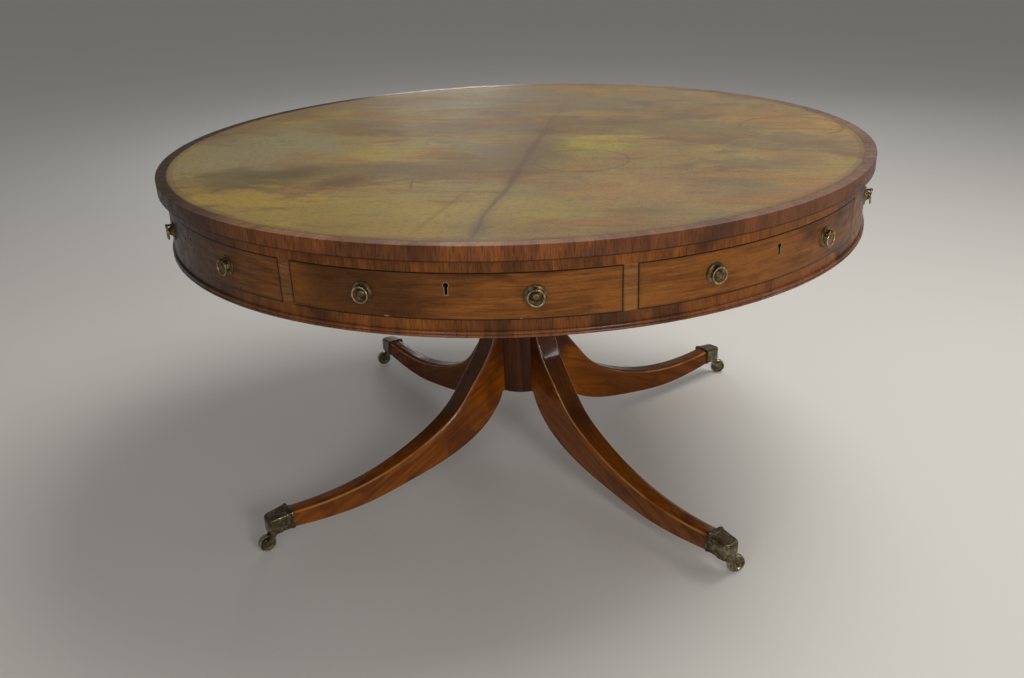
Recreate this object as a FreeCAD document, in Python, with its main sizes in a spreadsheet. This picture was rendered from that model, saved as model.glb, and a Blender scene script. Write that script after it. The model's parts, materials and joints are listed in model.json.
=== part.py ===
import FreeCAD, Part
import math
import os
import Sketcher
from FreeCAD import Placement, Rotation, Vector

# A round library table, called a drum table. A drum with eight drawer bays turns on a column, and the
# column stands on four curved legs with brass box castors. Every second bay holds a real drawer, and
# the bays between them have fixed dummy fronts that look the same.
#
# Millimetres, +Z up. The origin is on the floor under the centre of the column. The first drawer faces
# -Y, and every repeated piece is drawn facing -Y and then turned about Z to its own place.

document = FreeCAD.newDocument("drum_table")
sheet = document.addObject("Spreadsheet::Sheet", "Sizes")

DRIVING_SIZES = [
    # the top
    ("top_diameter", 1500.0, "across the crossbanded rim"),
    ("table_height", 770.0, "floor to the top"),
    ("rim_depth", 26.0, "height of the rim's edge"),
    ("rim_overhang", 15.0, "rim past the frieze"),
    ("border_width", 21.0, "crossbanded border round the leather"),
    ("border_thickness", 1.6, "veneer on the border and the edge"),
    ("leather_thickness", 1.6, "writing leather"),
    ("leather_joint", 0.3, "joint between leather and border"),
    ("rim_round", 0.8, "rounded arris of the rim"),
    ("overrun", 2.0, "how far a cut passes what it cuts"),
    # the frieze
    ("rail_depth", 30.0, "radial depth of both rails"),
    ("upper_rail_height", 22.0, "rail over the drawers"),
    ("opening_height", 77.5, "height of a drawer opening"),
    ("lower_rail_height", 29.5, "rail under the drawers"),
    ("stile_width", 24.0, "upright between two bays"),
    ("stile_depth", 40.0, "radial depth of an upright"),
    ("bead_reach", 5.0, "beads past the frieze"),
    ("bead_radius", 2.8, "each of the two beads at the foot of the frieze"),
    # the drawers
    ("front_thickness", 22.0, "drawer front"),
    ("front_gap", 1.0, "gap at the sides and top of a front"),
    ("running_gap", 0.3, "gap under a drawer, and other sliding gaps"),
    ("box_inset", 15.0, "side of a drawer box inside the uprights of the frieze"),
    ("box_height", 64.0, "height of a drawer's sides"),
    ("box_back_gap", 12.6, "back of a drawer to the guide of the next one"),
    ("side_thickness", 10.0, "drawer sides and back"),
    ("panel_thickness", 6.0, "drawer bottom"),
    ("panel_rise", 5.0, "drawer bottom above the sides' lower edge"),
    # the carcass inside the drum
    ("guide_thickness", 16.0, "upright board beside a drawer"),
    ("guide_gap", 1.5, "guide to drawer side"),
    ("guide_inset", 8.0, "guide past the back of the drawer"),
    ("guide_end_gap", 2.0, "guide to the uprights of the frieze"),
    ("board_thickness", 20.0, "bottom board of the drum"),
    ("hub_radius", 110.0, "centre block in the drum"),
    # the turning gear
    ("pin_radius", 16.0, "iron pin that the drum turns on"),
    ("pin_gap", 0.1, "pin to its bore"),
    ("pin_below", 90.0, "pin below its flange"),
    ("pin_top_gap", 12.0, "pin's end to the underside of the top"),
    ("flange_radius", 48.0, "flange of the pin"),
    ("flange_thickness", 6.0, "flange of the pin"),
    ("platform_radius", 190.0, "round block on the column"),
    ("platform_thickness", 28.0, "round block on the column"),
    ("platform_round", 8.0, "rounded lower edge of the block"),
    # the column
    ("column_radius", 78.0, "column between the legs"),
    ("column_bottom", 190.0, "floor to the column's end"),
    ("column_round", 5.0, "rounded lower edge of the column"),
    ("collar_radius", 88.0, "turned ring over the legs"),
    ("collar_height", 14.0, "turned ring over the legs"),
    ("collar_space", 16.0, "top of a leg to the turned ring"),
    ("neck_height", 156.0, "column over the legs"),
    ("neck_radius", 56.0, "column under the cap"),
    ("shaft_radius", 70.0, "column over the turned ring"),
    ("cove_radius", 24.0, "hollow under the cap"),
    ("cap_radius", 96.0, "cap under the round block"),
    ("cap_height", 15.0, "cap under the round block"),
    # the legs
    ("leg_reach", 627.0, "column's axis to the end of a leg"),
    ("leg_root_width", 55.0, "leg's width at the column"),
    ("leg_toe_width", 42.0, "leg's width at the toe"),
    ("toe_height", 36.0, "leg's height at the toe"),
    ("toe_level", 63.5, "floor to the middle of the toe"),
    ("root_arris", 15.0, "rounded upper edges of a leg at the column"),
    ("toe_arris", 4.0, "rounded upper edges of a leg at the toe"),
    ("dovetail_inset", 8.0, "top of the leg to the top of the tongue"),
    ("dovetail_depth", 15.0, "tongue of a leg in the column"),
    ("dovetail_neck", 18.0, "narrow side of the tongue"),
    ("dovetail_width", 26.0, "wide side of the tongue"),
    ("dovetail_gap", 0.15, "tongue to its slot"),
    ("plate_radius", 71.0, "iron plate under the column"),
    ("plate_thickness", 3.0, "iron plate under the column"),
    ("screw_radius", 3.0, "screws of the iron plate"),
    ("screw_length", 24.0, "screws of the iron plate"),
    ("toe_screw_radius", 2.5, "screws of the brass boxes"),
    ("toe_screw_length", 15.0, "screws of the brass boxes"),
    ("screw_circle", 56.0, "distance of the screws from the axis"),
    # the castors
    ("socket_length", 54.0, "brass box on the toe"),
    ("socket_proud", 1.5, "box past the wood, each side"),
    ("socket_lip", 2.0, "raised lip round the mouth"),
    ("lip_length", 4.0, "raised lip along the leg"),
    ("socket_nose", 12.0, "rounded front of the box"),
    ("socket_edge", 3.0, "other rounded edges of the box"),
    ("tenon_length", 28.0, "end of the leg inside the box"),
    ("tenon_inset", 5.0, "leg's shoulder, each side"),
    ("tenon_gap", 0.2, "wood to brass"),
    ("boss_radius", 15.0, "boss under the box"),
    ("boss_drop", 3.0, "boss under the box"),
    ("pintle_radius", 4.0, "swivel pin"),
    ("pintle_gap", 0.1, "swivel pin to its bore"),
    ("pintle_length", 11.0, "swivel pin above the fork"),
    ("pintle_setback", 18.0, "swivel pin behind the front of the box"),
    ("wheel_radius", 19.0, "castor wheel"),
    ("wheel_width", 12.0, "castor wheel"),
    ("wheel_round", 3.0, "rounded tread"),
    ("trail", 22.0, "axle outside the swivel pin"),
    ("fork_gap", 0.6, "wheel to fork, each side"),
    ("fork_wall", 2.4, "fork arms"),
    ("fork_crown", 4.0, "top of the fork"),
    ("crown_radius", 11.0, "top of the fork"),
    ("fork_eye", 6.0, "end of a fork arm round the axle"),
    ("axle_radius", 2.5, "axle"),
    ("axle_gap", 0.1, "axle to wheel"),
    ("axle_head", 1.2, "riveted ends of the axle"),
    # the handles
    ("handle_spacing", 275.0, "between the two handles of a front"),
    ("handle_rise", 0.5, "handles above the middle of a front"),
    ("rose_radius", 18.0, "round back plate"),
    ("rose_thickness", 1.5, "round back plate"),
    ("rib_radius", 11.7, "raised rib on the plate"),
    ("rib_wire", 1.0, "raised rib on the plate"),
    ("dome_radius", 9.0, "dome in the middle of the plate"),
    ("dome_tip", 5.4, "flat of the dome"),
    ("dome_height", 8.0, "dome in the middle of the plate"),
    ("spindle_radius", 2.5, "screw through the front"),
    ("spindle_gap", 0.2, "screw to its hole"),
    ("nut_radius", 6.5, "nut inside the drawer"),
    ("nut_thickness", 4.0, "nut inside the drawer"),
    ("ring_radius", 13.2, "pull ring, to the middle of its wire"),
    ("ring_wire", 1.4, "half the thickness of the ring's wire"),
    ("ring_stand", 11.6, "ring in front of the frieze"),
    ("eye_radius", 3.2, "ball that holds the ring"),
    ("eye_gap", 0.6, "ring to its hole"),
    ("eye_rise", 12.0, "ball above the middle of the plate"),
    ("stem_radius", 2.2, "stem of the ball"),
    # the locks
    ("key_rise", 18.5, "keyhole's round end above the middle of a front"),
    ("key_radius", 4.2, "round end of the keyhole"),
    ("key_slot", 4.4, "width of the keyhole's slot"),
    ("key_drop", 15.5, "length of the slot"),
    ("liner_depth", 6.0, "brass into the wood"),
    ("liner_wall", 1.4, "brass round the keyhole"),
    ("liner_proud", 0.3, "brass past the wood"),
    ("lock_width", 60.0, "lock case"),
    ("lock_height", 40.0, "lock case"),
    ("lock_thickness", 12.0, "lock case"),
    ("lock_inset", 3.0, "top of the front to the case"),
]

BAYS = 8
LEGS = 4
DRAWERS = 4
FULL_TURN = 360.0
HALF_TURN = 180.0
RIGHT_ANGLE = 90.0
BAY_ANGLE = FULL_TURN / BAYS
LEG_ANGLE = FULL_TURN / LEGS
DRAWER_ANGLE = FULL_TURN / DRAWERS
UP = Vector(0, 0, 1)
OUTWARD = Vector(0, -1, 0)
ACROSS = Vector(1, 0, 0)
TOWARDS_FRONT = Rotation(ACROSS, RIGHT_ANGLE)
SIDEWAYS = Rotation(Vector(0, 1, 0), RIGHT_ANGLE)
COLLAR_ROUND_SHARE = 0.45
LEG_PLACES = ("front_right", "back_right", "back_left", "front_left")
# How far each castor has swivelled from pointing straight out, in degrees.
CASTOR_TURNS = (72.0, -37.0, 75.0, 0.0)
NODES = []


class Size:
    """A length that knows its number and the sheet expression that gives it."""

    def __init__(self, number, text):
        self.number = float(number)
        self.text = text

    def join(self, other, sign, result):
        other_text = other.text if isinstance(other, Size) else repr(float(other))
        return Size(result, f"({self.text} {sign} {other_text})")

    def __add__(self, other):
        return self.join(other, "+", self.number + float(other))

    def __sub__(self, other):
        return self.join(other, "-", self.number - float(other))

    def __mul__(self, other):
        return self.join(other, "*", self.number * float(other))

    def __truediv__(self, other):
        return self.join(other, "/", self.number / float(other))

    def __neg__(self):
        return Size(-self.number, f"(0 - {self.text})")

    def __float__(self):
        return self.number


def write_sheet():
    """Each driving size gets a row: its number with an alias, and what it is."""
    found = {}
    for row, (alias, number, meaning) in enumerate(DRIVING_SIZES, start=1):
        sheet.set(f"A{row}", meaning)
        sheet.set(f"B{row}", str(number))
        sheet.setAlias(f"B{row}", alias)
        found[alias] = Size(number, f"Sizes.{alias}")
    document.recompute()
    for alias, size in found.items():
        size.number = float(sheet.get(alias))
    return found


S = write_sheet()
OVERRUN = S["overrun"]
NOTHING = Size(0.0, "0")
TOUCH = float(S["running_gap"]) / 10

# Levels, from the floor up.
top_level = S["table_height"]
rim_underside = top_level - S["rim_depth"]
opening_top = rim_underside - S["upper_rail_height"]
opening_foot = opening_top - S["opening_height"]
drum_foot = opening_foot - S["lower_rail_height"]
board_underside = opening_foot - S["board_thickness"]
platform_top = board_underside - S["running_gap"]
column_top = platform_top - S["platform_thickness"]
leg_top = column_top - S["neck_height"]
collar_foot = leg_top + S["collar_space"]
front_middle = opening_foot + S["opening_height"] / 2
handle_level = front_middle + S["handle_rise"]

# Radii, from the outside in.
rim_radius = S["top_diameter"] / 2
core_radius = rim_radius - S["border_thickness"]
border_inside = rim_radius - S["border_width"]
frieze_radius = rim_radius - S["rim_overhang"]
front_inside = frieze_radius - S["front_thickness"]
rail_inside = frieze_radius - S["rail_depth"]
stile_inside = frieze_radius - S["stile_depth"]
handle_turn = math.degrees(math.asin(float(S["handle_spacing"]) / 2 / float(frieze_radius)))

# A drawer box keeps clear of the inner corners of the uprights beside it, and of the next drawer's guides.
half_bay = math.radians(BAY_ANGLE / 2)
corner = stile_inside * math.sin(half_bay) - S["stile_width"] / 2 * math.cos(half_bay)
box_half = corner - S["box_inset"]
guide_inside = box_half + S["guide_gap"]
box_back = guide_inside + S["guide_thickness"] + S["box_back_gap"]


def bind(thing, name, size):
    """Give a property its number, and its expression when the size comes from the sheet."""
    if isinstance(size, Size):
        thing.setExpression(name, size.text)
    else:
        thing.setExpression(name, repr(float(size)))


def put(thing, x=0.0, y=0.0, z=0.0, rotation=None, angle=0.0):
    """Place a piece at sizes from the sheet, and then turn it about the table's axis."""
    cosine, sine = math.cos(math.radians(angle)), math.sin(math.radians(angle))
    x, y, z = (size if isinstance(size, Size) else NOTHING + size for size in (x, y, z))
    place = (x * cosine - y * sine, x * sine + y * cosine, z)
    own_turn = rotation or Rotation()
    thing.Placement = Placement(Vector(*(float(p) for p in place)), Rotation(UP, angle).multiply(own_turn))
    for axis, size in zip("xyz", place):
        bind(thing, f"Placement.Base.{axis}", size)
    return thing


def add(kind, name):
    return document.addObject(kind, name)


def cylinder(name, radius, height, foot=0.0, x=0.0, y=0.0, rotation=None, angle=0.0):
    thing = add("Part::Cylinder", name)
    bind(thing, "Radius", radius)
    bind(thing, "Height", height)
    return put(thing, x, y, foot, rotation, angle)


def block(name, width, depth, height, middle=0.0, near=0.0, foot=0.0, angle=0.0):
    """A box centred on x = middle, from y = -near inwards by its depth."""
    thing = add("Part::Box", name)
    bind(thing, "Length", width)
    bind(thing, "Width", depth)
    bind(thing, "Height", height)
    return put(thing, width / -2 + middle, -near, foot, None, angle)


def join(name, *parts):
    thing = add("Part::MultiFuse", name)
    thing.Shapes = list(parts)
    return thing


def cut(name, base, *tools):
    """The base less every tool."""
    thing = add("Part::Cut", name)
    thing.Base = base
    thing.Tool = tools[0] if len(tools) == 1 else join(f"{name}_tools", *tools)
    return thing


def common(name, *parts):
    """What all the parts share."""
    thing = add("Part::MultiCommon", name)
    thing.Shapes = list(parts)
    return thing


def together(name, things):
    """Several separate solids in one object."""
    thing = add("Part::Compound", name)
    thing.Links = list(things)
    return thing


def shaped(name, shape, angle=0.0):
    """A piece whose form is drawn with curves, turned about the table's axis."""
    thing = add("Part::Feature", name)
    thing.Shape = shape
    thing.Placement = Placement(Vector(), Rotation(UP, angle))
    return thing


def ring(name, outside, inside, height, foot):
    """A flat ring about the table's axis."""
    hole = cylinder(f"{name}_hole", inside, height + OVERRUN * 2, foot - OVERRUN)
    return cut(name, cylinder(f"{name}_disc", outside, height, foot), hole)


def new_sketch(body, name, role):
    sketch = body.newObject("Sketcher::SketchObject", name)
    plane = next(feature for feature in body.Origin.OriginFeatures if feature.Role == role)
    sketch.AttachmentSupport = [(plane, "")]
    sketch.MapMode = "FlatFace"
    return sketch


def draw_outline(sketch, outline):
    """A closed outline of straight lines, with each corner held by its two sizes."""
    start, end, y_axis, origin = 1, 2, -2, -1
    corners = [Vector(float(x), float(y), 0) for x, y in outline]
    for corner, following in zip(corners, corners[1:] + corners[:1]):
        sketch.addGeometry(Part.LineSegment(corner, following), False)
    for line in range(len(corners)):
        following = (line + 1) % len(corners)
        sketch.addConstraint(Sketcher.Constraint("Coincident", line, end, following, start))
    for line, (x, y) in enumerate(outline):
        if float(x) == 0.0:
            sketch.addConstraint(Sketcher.Constraint("PointOnObject", line, start, y_axis))
        else:
            across = Sketcher.Constraint("DistanceX", origin, start, line, start, float(x))
            bind(sketch, f"Constraints[{sketch.addConstraint(across)}]", x)
        upright = Sketcher.Constraint("DistanceY", origin, start, line, start, float(y))
        bind(sketch, f"Constraints[{sketch.addConstraint(upright)}]", y)


def turned_body(name, outline):
    """A turned piece: an outline of (radius, height) corners, revolved about Z."""
    body = add("PartDesign::Body", name)
    sketch = new_sketch(body, f"{name}_outline", "XZ_Plane")
    draw_outline(sketch, outline)
    turn = body.newObject("PartDesign::Revolution", f"{name}_turn")
    turn.Profile = sketch
    turn.ReferenceAxis = (sketch, ["V_Axis"])
    turn.Angle = FULL_TURN
    body.Tip = turn
    document.recompute()
    return body


def round_rims(body, radius, rims):
    """Round the circular edges of a turned body that have these (radius, height) places."""
    base = body.Tip
    wanted = []
    for number, edge in enumerate(base.Shape.Edges, start=1):
        if not isinstance(edge.Curve, Part.Circle):
            continue
        place = (edge.Curve.Radius, edge.Curve.Center.z)
        if any(all(abs(a - float(b)) < TOUCH for a, b in zip(place, rim)) for rim in rims):
            wanted.append(f"Edge{number}")
    fillet = body.newObject("PartDesign::Fillet", f"{base.Name}_rounded")
    fillet.Base = (base, wanted)
    bind(fillet, "Radius", radius)
    body.Tip = fillet
    document.recompute()
    return body


def rounded(name, base, radius, wanted):
    """Round every edge of the base that the test accepts."""
    document.recompute()
    thing = add("Part::Fillet", name)
    thing.Base = base
    chosen = [number for number, edge in enumerate(base.Shape.Edges, start=1) if wanted(edge)]
    thing.Edges = [(number, float(radius), float(radius)) for number in chosen]
    return thing


def node(name, thing):
    """Give a finished piece its own name, and keep it for writing."""
    thing.Label = name
    NODES.append(thing)
    return thing


# The top: a solid core, a crossbanded border over its edge, and a leather inset.
def make_top():
    core_top = top_level - S["border_thickness"]
    core = cylinder("top_core", core_radius, core_top - rim_underside, rim_underside)
    node("top_board", core)

    banding = turned_body("banding", [
        (border_inside, core_top),
        (core_radius, core_top),
        (core_radius, rim_underside),
        (rim_radius, rim_underside),
        (rim_radius, top_level),
        (border_inside, top_level),
    ])
    round_rims(banding, S["rim_round"], [(rim_radius, top_level)])
    node("top_crossbanding", banding)

    hide_radius = border_inside - S["leather_joint"]
    node("leather_top", cylinder("hide", hide_radius, S["leather_thickness"], core_top))


# The frieze: a rail above and below the bays, eight uprights, and a double bead at its foot.
def make_frieze():
    upper = ring("upper_rail", frieze_radius, rail_inside, S["upper_rail_height"], opening_top)
    lower = ring("lower_rail", frieze_radius, rail_inside, S["lower_rail_height"], drum_foot)
    node("frieze_rails", together("rails", [upper, lower]))

    posts = []
    for bay in range(BAYS):
        angle = BAY_ANGLE * (bay + 0.5)
        post = block(f"post_{bay}", S["stile_width"], S["stile_depth"], S["opening_height"],
                     near=frieze_radius, foot=opening_foot, angle=angle)
        face = cylinder(f"post_face_{bay}", frieze_radius, S["opening_height"], opening_foot)
        posts.append(common(f"upright_{bay}", post, face))
    node("frieze_uprights", together("uprights", posts))

    bead = S["bead_radius"]
    bead_line = frieze_radius + S["bead_reach"] - bead
    backing = cylinder("bead_backing", bead_line, bead * 4, drum_foot)
    beads = []
    for number, rise in enumerate((1, 3)):
        torus = add("Part::Torus", f"bead_{number}")
        bind(torus, "Radius1", bead_line)
        bind(torus, "Radius2", bead)
        beads.append(put(torus, z=drum_foot + bead * rise))
    inside = cylinder("bead_inside", frieze_radius, bead * 4 + OVERRUN * 2, drum_foot - OVERRUN)
    node("bead_moulding", cut("moulding", join("moulding_blank", backing, *beads), inside))


# Inside the drum: the bottom board, the centre block, and a guide on each side of a drawer.
def make_drum_carcass():
    bore = S["pin_radius"] + S["pin_gap"]
    node("drum_bottom", ring("bottom_board", rail_inside, bore, S["board_thickness"], board_underside))
    node("centre_block", ring("hub", S["hub_radius"], bore, rim_underside - opening_foot, opening_foot))

    boards = []
    guide_line = guide_inside + S["guide_thickness"] / 2
    outer_end = stile_inside * math.cos(half_bay) - S["guide_end_gap"]
    inner_end = box_back - S["guide_inset"]
    for number in range(DRAWERS):
        for side in (-1, 1):
            boards.append(block(f"guide_{number}_{side + 1}", S["guide_thickness"],
                                outer_end - inner_end, rim_underside - opening_foot,
                                middle=guide_line * side, near=outer_end, foot=opening_foot,
                                angle=DRAWER_ANGLE * number))
    node("drawer_guides", together("guides", boards))


def keyhole(name, wall, depth, near, angle):
    """A round hole with a slot below it, this much wider than the key's own, from y = -near inwards."""
    level = front_middle + S["key_rise"]
    width = S["key_slot"] + wall * 2
    eye = cylinder(f"{name}_eye", S["key_radius"] + wall, depth, level, y=depth - near,
                   rotation=TOWARDS_FRONT, angle=angle)
    slot = block(f"{name}_slot", width, depth, S["key_drop"] + wall, near=near,
                 foot=level - S["key_drop"] - wall, angle=angle)
    return join(name, eye, slot)


def make_front(name, foot, angle):
    """A curved front for one bay, with its keyhole and the holes for its two handles."""
    height = opening_top - S["front_gap"] - foot
    shell = add("Part::Cylinder", f"{name}_sector")
    bind(shell, "Radius", frieze_radius)
    bind(shell, "Height", height)
    shell.Angle = BAY_ANGLE
    put(shell, z=foot, angle=angle - RIGHT_ANGLE - BAY_ANGLE / 2)
    wide = S["stile_width"] + S["front_gap"] * 2
    tall = height + OVERRUN * 2
    cutters = [cylinder(f"{name}_inside", front_inside, tall, foot - OVERRUN)]
    for side in (-1, 1):
        cutters.append(block(f"{name}_end_{side + 1}", wide, frieze_radius, tall,
                             near=frieze_radius + OVERRUN, foot=foot - OVERRUN,
                             angle=angle + side * BAY_ANGLE / 2))
        cutters.append(cylinder(f"{name}_hole_{side + 1}", S["spindle_radius"] + S["spindle_gap"],
                                S["front_thickness"] + OVERRUN * 2, handle_level,
                                y=OVERRUN - front_inside, rotation=TOWARDS_FRONT,
                                angle=angle + side * handle_turn))
    cutters.append(keyhole(f"{name}_keyhole", S["liner_wall"], S["front_thickness"] + OVERRUN * 2,
                           frieze_radius + OVERRUN, angle))
    return cut(name, shell, *cutters)


def make_pull_plate(name, angle):
    """A round plate with its rib, dome, ring holder and screw, and the nut inside the front."""
    face = frieze_radius
    plate_front = face + S["rose_thickness"]

    def out(part, radius, start, end, rise=0.0):
        return cylinder(f"{name}_{part}", radius, end - start, handle_level + rise, y=-start,
                        rotation=TOWARDS_FRONT, angle=angle)

    plate = out("plate", S["rose_radius"], face - OVERRUN, plate_front)
    rib = add("Part::Torus", f"{name}_rib")
    bind(rib, "Radius1", S["rib_radius"])
    bind(rib, "Radius2", S["rib_wire"])
    put(rib, y=-plate_front, z=handle_level, rotation=TOWARDS_FRONT, angle=angle)
    dome = add("Part::Cone", f"{name}_dome")
    bind(dome, "Radius1", S["dome_radius"])
    bind(dome, "Radius2", S["dome_tip"])
    bind(dome, "Height", S["dome_height"])
    put(dome, y=-plate_front, z=handle_level, rotation=TOWARDS_FRONT, angle=angle)
    ring_line = face + S["ring_stand"]
    stem = out("stem", S["stem_radius"], face, ring_line, S["eye_rise"])
    ball = add("Part::Sphere", f"{name}_ball")
    bind(ball, "Radius", S["eye_radius"])
    put(ball, y=-ring_line, z=handle_level + S["eye_rise"], angle=angle)
    brass = join(f"{name}_brass", plate, rib, dome, stem, ball)
    wood = cylinder(f"{name}_wood", face, S["rose_radius"] * 4, handle_level - S["rose_radius"] * 2)
    eye_hole = S["ring_wire"] + S["eye_gap"]
    eye = cylinder(f"{name}_eye", eye_hole, S["eye_radius"] * 4, handle_level + S["eye_rise"],
                   x=S["eye_radius"] * -2, y=-ring_line, rotation=SIDEWAYS, angle=angle)
    seated = cut(f"{name}_seated", brass, wood, eye)
    screw_end = front_inside - S["nut_thickness"] - S["spindle_gap"]
    screw = out("screw", S["spindle_radius"], screw_end, face + S["rose_thickness"] / 2)
    handle = join(name, seated, screw)

    blank = out("nut_blank", S["nut_radius"], front_inside - S["nut_thickness"], front_inside + OVERRUN)
    inner_face = cylinder(f"{name}_inner_face", front_inside, S["nut_radius"] * 4,
                          handle_level - S["nut_radius"] * 2)
    thread = out("nut_thread", S["spindle_radius"], screw_end - OVERRUN, front_inside + OVERRUN * 2)
    nut = cut(f"{name}_nut", common(f"{name}_nut_seated", blank, inner_face), thread)
    return [handle, nut]


def make_brassware(name, angle, with_lock):
    """Both handle plates, the brass lining of the keyhole and the lock of one front."""
    pieces = []
    for side in (-1, 1):
        pieces += make_pull_plate(f"{name}_pull_{side + 1}", angle + side * handle_turn)
    lining_depth = S["liner_depth"] + S["liner_proud"]
    outside = keyhole(f"{name}_lining_outside", S["liner_wall"], lining_depth,
                      frieze_radius + S["liner_proud"], angle)
    inside = keyhole(f"{name}_lining_inside", NOTHING, lining_depth + OVERRUN * 2,
                     frieze_radius + S["liner_proud"] + OVERRUN, angle)
    pieces.append(cut(f"{name}_lining", outside, inside))
    if with_lock:
        top = opening_top - S["front_gap"]
        case = block(f"{name}_case", S["lock_width"], S["lock_thickness"] + OVERRUN, S["lock_height"],
                     near=front_inside + OVERRUN, foot=top - S["lock_height"] - S["lock_inset"],
                     angle=angle)
        inner_face = cylinder(f"{name}_lock_face", front_inside, S["opening_height"], opening_foot)
        seated = common(f"{name}_case_seated", case, inner_face)
        key_way = keyhole(f"{name}_key_way", NOTHING, S["lock_thickness"] / 2 + OVERRUN,
                          front_inside + OVERRUN, angle)
        pieces.append(cut(f"{name}_lock", seated, key_way))
    return together(name, pieces)


def make_ring(name, angle):
    """A pull ring that hangs in the ball of its plate."""
    torus = add("Part::Torus", name)
    bind(torus, "Radius1", S["ring_radius"])
    bind(torus, "Radius2", S["ring_wire"])
    level = handle_level + S["eye_rise"] - S["ring_radius"]
    return put(torus, y=-frieze_radius - S["ring_stand"], z=level, rotation=TOWARDS_FRONT, angle=angle)


def make_drawer_box(name, angle):
    """Two sides, a back and a bottom, all fitted to the curved front."""
    foot = opening_foot + S["running_gap"]
    length = front_inside - box_back
    board = S["side_thickness"]
    inner = (box_half - board) * 2
    curve = cylinder(f"{name}_curve", front_inside, S["opening_height"], opening_foot)
    pieces = []
    for side in (-1, 1):
        blank = block(f"{name}_blank_{side + 1}", board, length, S["box_height"],
                      middle=(box_half - board / 2) * side, near=front_inside, foot=foot, angle=angle)
        pieces.append(common(f"{name}_side_{side + 1}", blank, curve))
    pieces.append(block(f"{name}_back", inner, board, S["box_height"],
                        near=box_back + board, foot=foot, angle=angle))
    panel = block(f"{name}_panel", inner, length - board, S["panel_thickness"],
                  near=front_inside, foot=foot + S["panel_rise"], angle=angle)
    pieces.append(common(f"{name}_bottom", panel, curve))
    return together(name, pieces)


def make_bays():
    """Every second bay has a drawer, and the bays between have the same front, fixed."""
    dummy_fronts = []
    dummy_brass = []
    for number in range(DRAWERS):
        name = f"drawer_{number + 1}"
        angle = DRAWER_ANGLE * number
        node(f"{name}_front", make_front(f"{name}_curved", opening_foot + S["running_gap"], angle))
        node(f"{name}_box", make_drawer_box(f"{name}_boards", angle))
        node(f"{name}_brassware", make_brassware(f"{name}_brass", angle, True))
        dummy = f"dummy_{number + 1}"
        dummy_angle = angle + BAY_ANGLE
        dummy_fronts.append(make_front(f"{dummy}_curved", opening_foot, dummy_angle))
        dummy_brass.append(make_brassware(f"{dummy}_brass", dummy_angle, False))
        for owner, bay_angle in ((name, angle), (dummy, dummy_angle)):
            for side, turn in (("left", -handle_turn), ("right", handle_turn)):
                node(f"{owner}_ring_{side}", make_ring(f"{owner}_{side}", bay_angle + turn))
    node("dummy_fronts", together("fixed_fronts", dummy_fronts))
    node("dummy_brassware", together("fixed_brass", dummy_brass))


# The turning gear: a round block on the column, which the drum runs on, and an iron pin through it.
def make_turning_gear():
    flange_foot = platform_top - S["flange_thickness"]
    platform = cylinder("platform_disc", S["platform_radius"], S["platform_thickness"], column_top)
    lower_rim = rounded("platform_rounded", platform, S["platform_round"],
                        lambda edge: edge.BoundBox.ZMax < float(column_top) + TOUCH)
    bore = cylinder("platform_bore", S["pin_radius"] + S["pin_gap"],
                    S["platform_thickness"] + OVERRUN * 2, column_top - OVERRUN)
    recess = cylinder("platform_recess", S["flange_radius"] + S["pin_gap"],
                      S["flange_thickness"] + OVERRUN, flange_foot)
    node("bearing_block", cut("platform", lower_rim, bore, recess))

    pin_top = rim_underside - S["pin_top_gap"]
    pin = turned_body("pin", [
        (0.0, flange_foot - S["pin_below"]),
        (S["pin_radius"], flange_foot - S["pin_below"]),
        (S["pin_radius"], flange_foot),
        (S["flange_radius"], flange_foot),
        (S["flange_radius"], platform_top),
        (S["pin_radius"], platform_top),
        (S["pin_radius"], pin_top),
        (0.0, pin_top),
    ])
    node("pivot_pin", pin)


def dovetail(name, gap, foot, height, angle):
    """A tongue that widens into the column, drawn in plan and stood up."""
    body = add("PartDesign::Body", name)
    sketch = new_sketch(body, f"{name}_plan", "XY_Plane")
    near = S["column_radius"] - S["dovetail_depth"] - gap
    far = S["column_radius"] + OVERRUN
    wide = S["dovetail_width"] / 2 + gap
    narrow = S["dovetail_neck"] / 2 + gap
    draw_outline(sketch, [(-wide, near), (wide, near), (narrow, far), (-narrow, far)])
    pad = body.newObject("PartDesign::Pad", f"{name}_pad")
    pad.Profile = sketch
    bind(pad, "Length", height)
    body.Tip = pad
    document.recompute()
    return put(body, z=foot, angle=angle + HALF_TURN)


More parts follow.
